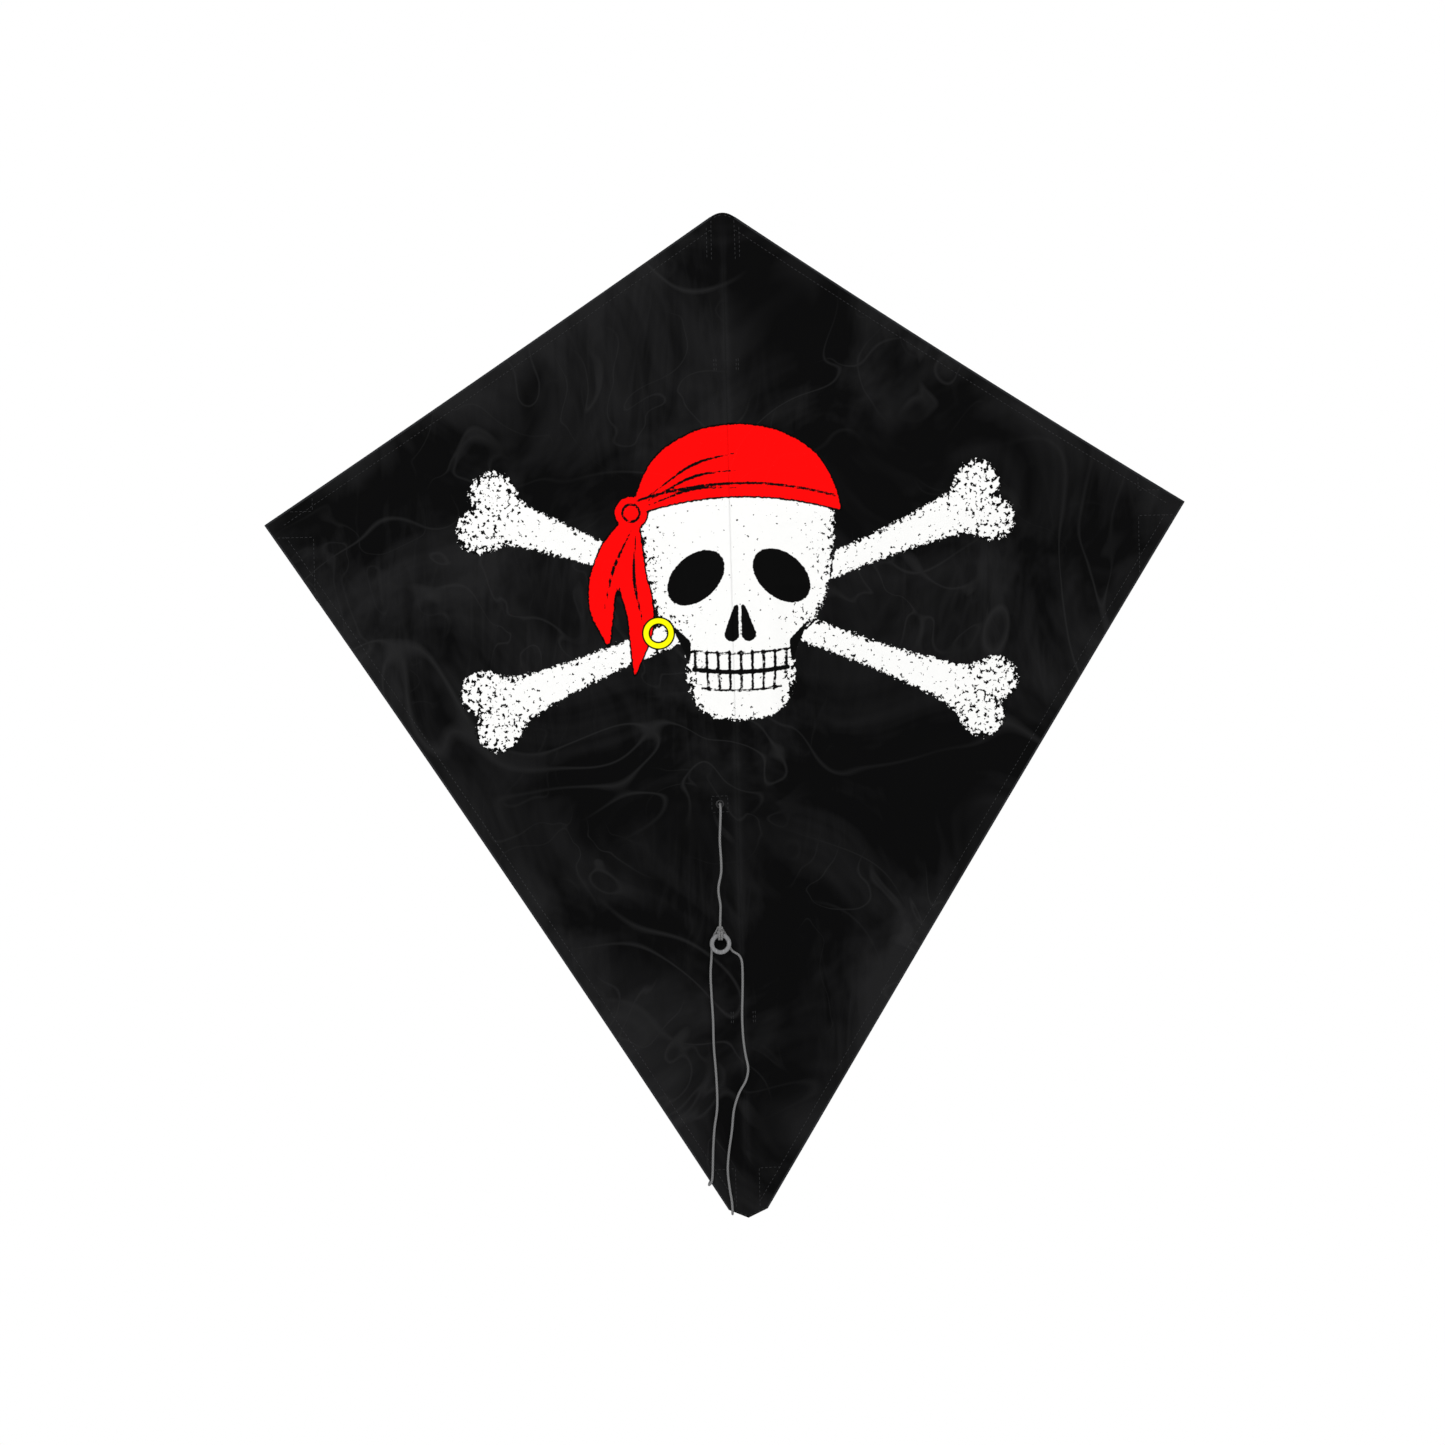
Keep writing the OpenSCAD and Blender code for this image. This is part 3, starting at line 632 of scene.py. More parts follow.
def tube(path, radius, sides, around=None):
    """A tube round a path. A point is centre + r (cos a side + sin a up), and r is the radius times
    around(a, distance along). The ends are closed with a fan."""
    path = np.asarray(path, float)
    side, up = carried_frames(path)
    n = len(path)
    a = np.arange(sides) * 2 * np.pi / sides
    run = run_along(path)
    r = np.broadcast_to(np.asarray(radius, float), (n,))[:, None] * np.ones((n, sides))
    if around is not None:
        r = r * around(a[None, :], run[:, None])
    ring = path[:, None] + r[..., None] * (
        np.cos(a)[None, :, None] * side[:, None] + np.sin(a)[None, :, None] * up[:, None]
    )
    quads, row, column = grid_faces(n, sides, wrap_columns=True)
    points = np.vstack([ring.reshape(-1, 3), path[:1], path[-1:]])
    corner_uv = np.stack([column.ravel() / sides * 1000, run[row.ravel()]], -1)
    return (points, quads, end_fans(n, sides)), corner_uv


def lathe(centre, profile, sides=64):
    """A closed profile of (radius, depth) turned round an axis along Y through the centre."""
    p = np.asarray(profile, float)
    a = (np.arange(sides) * 2 * np.pi / sides)[:, None]
    r, y = p[:, 0][None], p[:, 1][None]
    quads, _, _ = grid_faces(sides, len(p), wrap_rows=True, wrap_columns=True)
    return placed(centre[0] + r * np.cos(a), centre[1] + y, centre[2] + r * np.sin(a)), quads


def facing_out(piece):
    """Turns every face outwards, for a closed mesh."""
    made = bmesh.new()
    made.from_mesh(piece.data)
    bmesh.ops.recalc_face_normals(made, faces=made.faces)
    made.to_mesh(piece.data)
    made.free()
    return piece


# ---- The bridle: three lengths of line, hitched to the spine and to the ring ----
LINE_R = 0.8
LINE_GAP = 0.36
EASE_ROUNDS = 24
UPPER_ROUTE = [
    [-12.5, -10.3, -202.5], [-12.5, -12.25, -203.02], [-12.5, -13.68, -204.45],
    [-12.55, -14.2, -206.4], [-12.6, -14.2, -209.5], [-13, -14, -216], [-13.6, -13.7, -228],
    [-13.1, -13.6, -240], [-13.2, -13.6, -250], [-15.2, -13.6, -259], [-15.4, -13.6, -265],
    [-14.3, -13.6, -273], [-14.6, -13.6, -280], [-15, -13.6, -288.4],
]
LEFT_ROUTE = [
    [-16.9, -10.7, -290.6], [-18.3, -10.7, -293], [-19.9, -10.7, -296.4], [-20.8, -10.7, -301],
    [-21.2, -10.7, -308], [-22.3, -10.7, -322], [-22, -10.7, -338], [-21.4, -10.7, -354],
    [-21.4, -10.7, -372], [-20.4, -10.7, -390], [-19.9, -10.7, -406], [-20.4, -10.7, -418],
    [-22.4, -10.7, -430], [-23.6, -10.7, -443], [-24.2, -10.7, -454], [-24.6, -10.75, -462],
    [-25.35, -10.75, -468.27], [-26.73, -9.74, -470.28], [-27.3, -7.3, -471.11],
    [-26.73, -4.86, -470.28], [-25.35, -3.85, -468.27], [-21, -3.8, -464.6], [-14, -4, -459.6],
    [-8, -4.5, -455.4], [-3.4, -5, -451.8],
]
RIGHT_ROUTE = [
    [-13.1, -10.7, -290.6], [-11.7, -10.7, -293], [-10.1, -10.7, -296.4], [-8.9, -10.7, -301],
    [-7.2, -10.7, -305.2], [-4.4, -10.7, -307.2], [-1.8, -10.7, -309], [-0.1, -10.7, -313],
    [0.2, -10.7, -322], [-0.2, -10.7, -336], [-0.9, -10.7, -352], [-0.5, -10.7, -368],
    [0.9, -10.7, -380], [2.4, -10.7, -389], [0.6, -10.7, -397.5], [-4.6, -10.7, -406.5],
    [-8.4, -10.7, -418], [-10.3, -10.7, -433], [-12.8, -10.7, -448], [-13.9, -10.7, -461],
    [-12.8, -10.7, -474], [-11.6, -10.75, -482.5], [-11.25, -10.75, -489.1],
    [-11.15, -9.74, -491.54], [-11.05, -7.3, -492.55], [-10.95, -4.86, -491.54],
    [-10.8, -3.85, -489.1], [-10.4, -3.8, -484], [-9.2, -3.85, -477], [-7.6, -4.1, -468],
    [-5.7, -4.6, -460.2], [-3.4, -5, -454.6],
]
RING_AT = np.array([-15, -13.605, -300.0])
RING_MEAN, RING_HALF, RING_POWER = 6.0, 1.5, 2.7
TILT_Z = -294.0
HITCH_TURN, SPINE_TURN = 2.105, 2.1
KNOT_Z = -289.7
TAIL_HITCH_Z = -453.0
ROD_Y = -5.0
EYELET = (-12.5, -202.5)
UPPER_LENGTH, LEFT_LENGTH, RIGHT_LENGTH = 0.0882, 0.2165, 0.2515


def spaced(path):
    """The same path with its points LINE_GAP apart along it."""
    path = np.asarray(path, float)
    run = run_along(path)
    at = np.linspace(0, run[-1], int(round(run[-1] / LINE_GAP)) + 1)
    return np.stack([np.interp(at, run, path[:, k]) for k in range(3)], -1)


def rounded(points):
    """A smooth path through the points, in small even steps."""
    return spaced(smooth_loop(points, 6, False))


def braid(a, run):
    """Strands each way round the line: the higher of two slanting sines, over BRAID_TURN along it."""
    turn = 2 * np.pi * run / BRAID_TURN
    return 1 + 0.055 * (np.maximum(np.sin(STRANDS * a + turn), np.sin(STRANDS * a - turn)) - 0.5)


def eased(path):
    """The path, each inner point moved to the mean of its neighbours over and over, so no bend is tight."""
    path = path.copy()
    for _ in range(EASE_ROUNDS):
        path[1:-1] = 0.25 * path[:-2] + 0.5 * path[1:-1] + 0.25 * path[2:]
    return path


def strand(path, share=1.0, sides=14):
    """Braided line along a path, at that share of the line's thickness."""
    return tube(path, LINE_R * share, sides, braid)


def line_piece(name, route, body=None):
    """A length of braided line along a route, and its path."""
    even = spaced(eased(spaced(smooth_loop(route, 8, False))))
    (points, quads, triangles), corner_uv = strand(even, sides=16)
    piece = make_piece(name, points, quads, line_grey, triangles, corner_uv)
    if body:
        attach(piece, body)
    return piece, even


def circle_round(centre, radius, axis, turns, rise, start):
    """A helix round an axis, 0 for X and 2 for Z: radius out, and rise along the axis for each turn."""
    a = start + np.linspace(0, 2 * np.pi * turns, int(40 * turns) + 1)
    along = rise * (a - start) / (2 * np.pi)
    across, up = radius * np.cos(a), radius * np.sin(a)
    return np.stack([along, across, up] if axis == 0 else [across, up, along], -1) + centre


def knot(centre, size, share, flat=0.8):
    """An overhand knot of line: the trefoil (sin t + 2 sin 2t, cos t - 2 cos 2t, -sin 3t) at a size."""
    t = np.linspace(0, 2 * np.pi, 90)
    loop = [np.sin(t) + 2 * np.sin(2 * t), -np.sin(3 * t) * flat, np.cos(t) - 2 * np.cos(2 * t)]
    return strand(np.stack(loop, -1) * size / 3 + centre, share, 12)


def finish_hitch(name, node, body, parts):
    """One piece from several lengths of line, for a node of the CAD."""
    points, quads, triangles = joined([p for p, _ in parts])
    piece = make_piece(name, points, quads, line_grey, triangles, np.vstack([uv for _, uv in parts]))
    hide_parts(node)
    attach(piece, body)
    return piece


def make_bridle():
    """The three lengths of line, the hitches at their ends and the tow ring."""
    # hitch round the ring: two turns side by side, a bar across their front, and the knot above
    top = np.array([RING_AT[0], RING_AT[1], TILT_Z])
    parts = []
    for side in (-1, 1):
        centre = top + [side * 0.86, 0, 0]
        parts.append(strand(circle_round(centre, HITCH_TURN + LINE_R, 0, 1, side * 0.05, np.pi / 2)))
    bar = [(-1.7, -0.9, 2.4), (-1.5, -1.6, 1.9), (-0.7, -2.0, 1.6)]
    bar += [(-x, y, z) for x, y, z in bar[::-1]]
    parts.append(strand(rounded(np.array(bar) + top), 0.94))
    parts.append(knot([RING_AT[0], RING_AT[1], KNOT_Z + 0.2], 1.55, 0.78))
    for route, side in ((LEFT_ROUTE, -1), (RIGHT_ROUTE, 1)):
        start = route[0] - top
        way_in = [
            start + 0.4 * unit(np.subtract(route[1], route[0])), start,
            (side * 1.25, 2.5, 4.9), (side * 0.7, 1.6, 5.3), (side * 0.1, 0.5, 4.8),
        ]
        parts.append(strand(rounded(np.array(way_in) + top), 0.98))
    hitch = finish_hitch("ring_knot", "ring_hitch", "bridle", parts)

    # tow ring: a rounded square section, and a thin moulding line round its outside
    a = np.linspace(0, 2 * np.pi, 28, endpoint=False)
    soft = RING_HALF / (np.abs(np.cos(a))**RING_POWER + np.abs(np.sin(a))**RING_POWER)**(1 / RING_POWER)
    seam = 0.07 * np.exp(-(((a + 0.11) % (2 * np.pi) - 0.11) / 0.09)**2)
    profile = np.stack([RING_MEAN + (soft + seam) * np.cos(a), (soft + seam) * np.sin(a)], -1)
    points, quads = lathe(RING_AT, profile, 96)
    ring = facing_out(make_piece("ring", points, quads, grey_plastic))
    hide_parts("tow_ring")
    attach(ring, "ring")

    upper, even = line_piece("bridle_upper", UPPER_ROUTE, "bridle")
    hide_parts("upper_leg")
    for name, node, route, real in (
        ("bridle_lower_left", "lower_leg_left", LEFT_ROUTE, LEFT_LENGTH),
        ("bridle_lower_right", "lower_leg_right", RIGHT_ROUTE, RIGHT_LENGTH),
    ):
        leg, even = line_piece(name, route)
        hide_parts(node)
        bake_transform(leg)

    # hitches on the spine: through the eyelet to two turns, and three turns near the tail
    inner = SPINE_TURN + LINE_R
    way_in = [(0, -9.9, 0), (0, -7.4, 0), (0.4, -5.6, 0), (2.4, -5.0, 0), (6, -5.2, 0.1), (8.3, -6.6, 0.3)]
    way_in = smooth_loop(np.array(way_in) + [EYELET[0], 0, EYELET[1]], 6, False)
    coil = circle_round([0, ROD_Y, EYELET[1] + 0.7], inner, 2, 2.1, -1.66, np.pi + 0.9)
    finish_hitch("spine_line", "spine_hitch", "root", [
        strand(spaced(np.vstack([way_in[:-1], coil]))),
        knot([1.5, ROD_Y + 3.2, EYELET[1] - 1.2], 1.5, 0.72),
        knot([EYELET[0], -7.1, EYELET[1] + 0.2], 2.2, 0.95, 0.5),
    ])
    coil = circle_round([0, ROD_Y, TAIL_HITCH_Z + 1.9], inner, 2, 3.1, -1.3, np.pi * 0.9)
    parts = [strand(spaced(coil)), knot([-1.2, ROD_Y + 3.2, TAIL_HITCH_Z], 1.5, 0.72)]
    # from the end of each lower strand, over the turns and into the knot
    a = np.pi * np.linspace(0.94, 0.64, 4)
    for route in (LEFT_ROUTE, RIGHT_ROUTE):
        inside = route[-1] - 0.6 * unit(np.subtract(route[-1], route[-2]))
        over = placed(3.5 * np.cos(a), ROD_Y + 3.5 * np.sin(a), np.linspace(route[-1][2], TAIL_HITCH_Z, 4))
        parts.append(strand(rounded(np.vstack([[inside], over])), 0.98))
    finish_hitch("tail_line", "tail_hitch", "root", parts)


make_bridle()

# ---- The sail: outline, relief and cloth ----
NOSE_Z, TAIL_Z, TIP_X = 208.0, -495.0, 321.5
NOSE_CORNER = (8.5, 205.0)
TAIL_CORNER = (13.5, -489.0)
CLOTH_Y = -9.45
CLOTH_T = 0.2
CREASE_COUNT = 46
CLOTH_HOLE, PATCH_HOLE = 1.7, 1.8
FOLD_X, FOLD_LEAN = 17.0, 0.0213
KEEPERS = (104.0, -352.0)
BOW = {(1, "lead"): 3.6, (-1, "lead"): 1.4, (1, "trail"): 1.2, (-1, "trail"): 2.6}


def soft_step(t):
    """0 to 1 as t goes from 0 to 1: 3 t^2 - 2 t^3."""
    t = np.clip(t, 0, 1)
    return t * t * (3 - 2 * t)


def edge_at(z, side):
    """Half width of one side's sail at height z: the straight edge, pulled in by a parabola."""
    up = (NOSE_CORNER[1] - z) / NOSE_CORNER[1]
    down = z / TAIL_CORNER[1]
    lead = NOSE_CORNER[0] + up * (TIP_X - NOSE_CORNER[0]) - BOW[side, "lead"] * 4 * up * (1 - up)
    trail = TIP_X + down * (TAIL_CORNER[0] - TIP_X) - BOW[side, "trail"] * 4 * down * (1 - down)
    return np.where(z >= 0, lead, trail)


def make_creases():
    """Places, directions, lengths, widths and heights of the soft fold lines pressed into the cloth."""
    rng = np.random.default_rng(31)
    n = CREASE_COUNT
    z = rng.uniform(-430, 170, n)
    x = rng.uniform(-1, 1, n) * (edge_at(z, 1) - 24)
    angle = rng.uniform(0, np.pi, n)
    half, wide, high = rng.uniform(22, 85, n), rng.uniform(3.0, 5.5, n), rng.normal(0, 0.34, n)
    return np.stack([x, z, angle, half, wide, high], -1)


CREASES = make_creases()


def relief(x, z):
    """How far the cloth stands back from flat, in millimetres. The sum of a billow in each of the four
    panels (27 times the product of the three shares of a place in its triangle), slow waves, fans of
    pulls from the corners, soft fold lines (a bell across, fading along), and a ridge down the middle.
    All of it fades near the middle, where the line lies on the cloth and the spine is behind it."""
    u = np.abs(x)
    b = np.where(z > 0, z / NOSE_Z, z / TAIL_Z)
    c = u / TIP_X
    a = np.clip(1 - b - c, 0, 1)
    panel = 27 * a * b * c
    out = panel * np.where(z > 0, 2.4, 4.4)
    out += 0.45 * panel * np.sin(x / 31 + 0.6) * np.sin(z / 37 + x / 90)
    for cx, cz, pull, count, reach in (
        (TIP_X, 0, 0.55, 15, 80), (-TIP_X, 0, 0.55, 15, 80),
        (0, NOSE_Z, 0.5, 12, 70), (0, TAIL_Z, 0.7, 17, 120),
    ):
        r = np.hypot(x - cx, z - cz)
        way = np.arctan2(z - cz, x - cx)
        out += pull * np.exp(-r / reach) * (1 - np.exp(-r / 22)) * np.cos(count * way + cx / 50)
    for cx, cz, angle, half, wide, high in CREASES:
        along = (x - cx) * np.cos(angle) + (z - cz) * np.sin(angle)
        across = (z - cz) * np.cos(angle) - (x - cx) * np.sin(angle) + 0.002 * along**2 * np.sign(high)
        out += high * np.exp(-(across / wide)**2 - (along / half)**4)
    near_edge = np.clip((edge_at(z, 1) - u) / 12, 0, 1)
    out *= 0.35 + 0.65 * near_edge
    free = soft_step((u - 25) / 16)
    out = free * out + (1 - free) * np.clip(0.4 * out, -0.18, 0.18)
    return out - 0.14 * np.exp(-(x / 2.2)**2)


def cloth_y(x, z):
    return CLOTH_Y + relief(x, z)


FINE, COARSE = 1.46, 3.3
FINE_TOP, FINE_FOOT = 62.0, -218.0
FINE_WIDE = 78.0
FINE_COLUMNS, COARSE_COLUMNS = 54, 94
END_FADE = (18.0, 25.0)


def sail_grid(side):
    """Rest places of one half of the sail. Rows go from nose to tail, finer over the print; near the ends
    they bend to follow the blunt nose and tail. Columns go from the middle out, finer up to FINE_WIDE."""
    rows = np.concatenate([
        np.linspace(NOSE_Z, FINE_TOP, int((NOSE_Z - FINE_TOP) / COARSE), endpoint=False),
        np.linspace(FINE_TOP, 0, int(FINE_TOP / FINE), endpoint=False),
        np.linspace(0, FINE_FOOT, int(-FINE_FOOT / FINE), endpoint=False),
        np.linspace(FINE_FOOT, TAIL_Z, int((FINE_FOOT - TAIL_Z) / COARSE) + 1),
    ])
    top = soft_step((rows - NOSE_Z) / END_FADE[0] + 1)
    foot = soft_step((TAIL_Z - rows) / END_FADE[1] + 1)
    end_z = rows - top * (NOSE_Z - NOSE_CORNER[1]) + foot * (TAIL_CORNER[1] - TAIL_Z)
    end_x = edge_at(end_z, side)
    split = np.minimum(FINE_WIDE, 0.5 * end_x)
    inner = np.linspace(0, 1, FINE_COLUMNS, endpoint=False)
    outer = np.linspace(0, 1, COARSE_COLUMNS)
    u = np.concatenate([split[:, None] * inner, split[:, None] + (end_x - split)[:, None] * outer], 1)
    share = u / end_x[:, None]
    drop = (top * (NOSE_Z - NOSE_CORNER[1]))[:, None] * share**2
    rise = (foot * (TAIL_CORNER[1] - TAIL_Z))[:, None] * share
    return side * u, rows[:, None] - drop + rise


def painted_sheen_near_edges(x, z):
    """How much paler the cloth is painted as sheen, the light it catches where it is pulled taut: near its
    edges, more along the lower ones, and along the fold down its middle."""
    edge = np.where(x > 0, edge_at(z, 1), edge_at(z, -1))
    slope = np.where(z > 0, 0.55, 0.84)
    inset = (edge - np.abs(x)) * slope
    wide = np.where(z > 0, 16, 30)
    middle = 0.8 * np.exp(-(x / 2.6)**2) + 0.25 * np.exp(-(x / 16)**2)
    return np.clip(0.9 * np.exp(-(inset / wide)**2) + middle, 0, 1)


def cut_round_eyelet(points, quads, radius):
    """Takes away the quads with their middles within a radius of the eyelet, and the points left bare."""
    middle = points[quads].mean(1)
    kept = quads[np.hypot(middle[:, 0] - EYELET[0], middle[:, 2] - EYELET[1]) > radius]
    used, numbers = np.unique(kept, return_inverse=True)
    return points[used], numbers.reshape(kept.shape)


def hand(side):
    """The name of a side, 1 for the right and -1 for the left, seen from the front."""
    return "right" if side > 0 else "left"


def bend_with(piece):
    """Moves a piece's placing into its points, so that it stands at the origin."""
    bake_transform(piece)


def make_sail(side):
    """One half of the sail: the cloth with the print's fields on it, as a thin wall with another back."""
    x, z = sail_grid(side)
    quads, _, _ = grid_faces(*x.shape, turned=side > 0)
    points, quads = cut_round_eyelet(placed(x, cloth_y(x, z), z), quads, CLOTH_HOLE)
    piece = make_piece(hand(side) + "_cloth", points, quads, (cloth_front, cloth_back))
    x, z = points[:, 0], points[:, 2]
    fields = ("print_white", "print_dots", "print_red", "print_yellow", "print_black", "print_edge")
    # the last field is how much paler the cloth is painted as sheen near its edges and down its middle
    for field, values in zip(fields, (*print_fields(x, z), painted_sheen_near_edges(x, z))):
        made = piece.data.attributes.new(field, "FLOAT", "POINT")
        made.data.foreach_set("value", np.clip(values, -30, 30).astype(np.float32))
    bend_with(piece)
    thicken(piece, CLOTH_T, 1)
    return piece


HEM_THICK = 0.5
EDGE_STEPS = 250
MITRE = 0.98


def hem_edge(side, which):
    """The sail's edge from nose to tip or from tip to tail, the run along it, and the way inwards."""
    top, foot = (NOSE_CORNER[1], 0.0) if which == "lead" else (0.0, TAIL_CORNER[1])
    z = np.linspace(top, foot, EDGE_STEPS)
    z = np.where(z == 0, 1e-9 if which == "lead" else -1e-9, z)
    path = np.stack([side * edge_at(z, side), z], -1)
    ahead = unit(np.gradient(path, axis=0))
    return path, run_along(path), np.stack([ahead[:, 1], -ahead[:, 0]], -1) * side


def hem_place(side, which, share, inset):
    """The place that share of the way along an edge and inset millimetres in from it. Near the tip the way
    is cut short by MITRE times the inset, so that the two hems meet along one line."""
    path, run, inward = hem_edge(side, which)
    length = run[-1] - MITRE * inset
    at = share * length if which == "lead" else run[-1] - (1 - share) * length
    px, pz = (np.interp(at, run, path[:, k]) for k in (0, 1))
    ix, iz = (np.interp(at, run, inward[:, k]) for k in (0, 1))
    return px + ix * inset, pz + iz * inset


def make_hem(side, which, node):
    """A folded hem behind an edge: its section is a flat loop from the fold at the edge to the sewn inner
    edge, and a lip of the fold shows on the front. It follows the cloth's relief."""
    section = np.array([
        (0.9, -0.16), (0.35, -0.20), (-0.05, -0.10), (-0.22, 0.12), (-0.12, 0.38), (0.3, 0.55),
        (1.2, 0.60), (3.2, 0.57), (5.5, 0.60), (7.0, 0.53), (8.2, 0.60), (8.8, 0.50), (9.0, 0.34),
        (8.8, 0.15), (7.5, 0.115), (5.0, 0.115), (2.5, 0.115), (1.3, 0.10), (1.2, -0.11),
    ])
    share = np.linspace(0, 1, 170)[:, None]
    inset, depth = section[:, 0][None], section[:, 1][None]
    x, z = hem_place(side, which, share, inset)
    pucker = 0.07 * np.sin(share * 320) * np.exp(-((inset - 7) / 2.4)**2) * (depth > 0.3)
    points = placed(x, cloth_y(x, z) + depth + pucker, z)
    quads, row, column = grid_faces(*x.shape, wrap_columns=True)
    n, k = x.shape
    ends = np.stack([points[:k].mean(0), points[-k:].mean(0)])
    corner_uv = np.stack([column.ravel() * 0.9, row.ravel() * 2.2], -1)
    piece = make_piece(node[:-4] + "_fold", np.vstack([points, ends]), quads, tape, end_fans(n, k), corner_uv)
    facing_out(piece)
    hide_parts(node)
    bend_with(piece)
    return piece


# ---- Pockets and keepers: cloth drawn tight over a rod and sewn down on both sides ----
def tent(across, radius, centre, foot):
    """Height of cloth drawn over a round rod: on the rod's circle, then straight down the tangent to the
    sewn line at foot, then flat."""
    far = math.hypot(foot, centre)
    slope = math.pi - math.atan2(centre, foot) - math.asin(min(0.999, radius / far))
    reach = math.sqrt(max(far**2 - radius**2, 0))
    touch = foot + reach * math.cos(slope)
    d = np.abs(across)
    on_rod = centre + np.sqrt(np.clip(radius**2 - d**2, 0, None))
    falling = (foot - d) * reach * math.sin(slope) / (foot - touch)
    return np.where(d < touch, on_rod, np.clip(falling, 0, None))


def outward_back(piece):
    """Turns an open surface so that its faces look back, along +Y."""
    normal = np.zeros(len(piece.data.polygons) * 3, np.float32)
    piece.data.polygons.foreach_get("normal", normal)
    if normal.reshape(-1, 3)[:, 1].mean() < 0:
        piece.data.flip_normals()
    return piece


def tape_wall(name, x, z, height, thickness, finish, node, body, hole=None):
    """A wall of tape over places x, z of the cloth, standing back from it by a height. hole is the eyelet's
    radius where the wall is cut away round it."""
    points = placed(x, cloth_y(x, z) + height, z)
    quads, _, _ = grid_faces(*x.shape)
    if hole:
        points, quads = cut_round_eyelet(points, quads, hole)
    piece = outward_back(make_piece(name, points, quads, finish))
    thicken(piece, thickness)
    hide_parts(node)
    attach(piece, body)
    return piece


def wrinkled(x, z, size):
    """Small puckers in sewn tape: a product of sines in two slanting directions."""
    return size * np.sin(x * 0.9 + z * 0.35) * np.sin(z * 0.8 - x * 0.2 + 1.1)


# radius of the cap or rod under the cloth, height of its middle, and how far out the cloth is sewn down
SPINE_CAP, SPAR_CAP, SPINE_ROD = (3.42, 3.55, 8.8), (3.17, 3.30, 8.6), (2.36, 4.1, 6.6)
POCKET_T = 0.5
STACK = CLOTH_T / 2 + HEM_THICK + POCKET_T / 2


def make_end_pocket(name, node, end, mouth, tail):
    """The pocket over one end of the spine, from the blunt end of the sail to its mouth."""
    t = np.linspace(0, 1, 44)[:, None]
    s = np.linspace(-1, 1, 61)[None]
    flat = end + (mouth - end) * t
    corner = TAIL_CORNER if tail else NOSE_CORNER
    bulge = soft_step(1 - t * (1.6 if tail else 2.0))
    shift = (end - corner[1]) * bulge
    z_edge = flat - shift
    crease = FOLD_X - FOLD_LEAN * z_edge - 0.9
    half = np.minimum(np.minimum(edge_at(z_edge, 1), edge_at(z_edge, -1)) - 0.5, crease)
    x = s * half
    z = flat - shift * (np.abs(s) if tail else s**2) + (0.4 if tail else -0.4) * (1 - t)
    lift = soft_step(np.abs(z - end) / 3.4 - 0.10)
    radius, centre, foot = SPINE_CAP
    height = tent(x, radius, centre, min(np.mean(np.minimum(foot, half - 1.2)), 8.0)) * lift
    height = height + wrinkled(x, z, 0.10) * (height < 0.05)
    tape_wall(name, x, z, STACK + height, POCKET_T, tape, node, "root")


def make_tip_pocket(side):
    """The pocket over a spar's outer end: a triangle of tape from the wing tip to its mouth."""
    mouth, tip = 287.5, 320.6
    t = np.linspace(0, 1, 40)[:, None]
    s = np.linspace(-1, 1, 71)[None]
    u = mouth + (tip - mouth) * t
    up = NOSE_CORNER[1] * (TIP_X - u) / (TIP_X - NOSE_CORNER[0])
    down = TAIL_CORNER[1] * (TIP_X - u) / (TIP_X - TAIL_CORNER[0])
    z = np.where(s > 0, s * (up - 0.7), -s * (down + 0.9))
    x = side * u + 0 * z
    lift = soft_step((tip - 0.4 - u) / 4.2)
    height = tent(z, *SPAR_CAP) * lift
    height = height + wrinkled(x, z, 0.08) * (height < 0.05)
    name = hand(side) + "_tip_pocket"
    return tape_wall(name + "_tape", x, z, STACK + height, POCKET_T, tape, name, hand(side) + "_wing")


def make_keeper(name, node, middle):
    """A band of tape over the spine, sewn down at both ends, with its raw ends turned under."""
    t = np.linspace(-6, 6, 17)[:, None]
    s = np.linspace(-9.2, 9.2, 75)[None]
    x = s + 0.12 * np.sin(t * 1.7)
    z = middle + t + 0.15 * np.sin(s * 0.6)
    height = tent(x, *SPINE_ROD)
    turned = 0.28 * soft_step((np.abs(x) - 7.2) / 0.8)
    waist = -0.10 * np.exp(-((np.abs(x) - 6.9) / 0.35)**2)
    stand = CLOTH_T / 2 + 0.32 + height + turned + waist
    tape_wall(name, x, z, stand, POCKET_T, patch_tape, node, "root")


TAB_X = (5.5, 13.5)
TAB_Y, TAB_Z = -5.94, -474.0


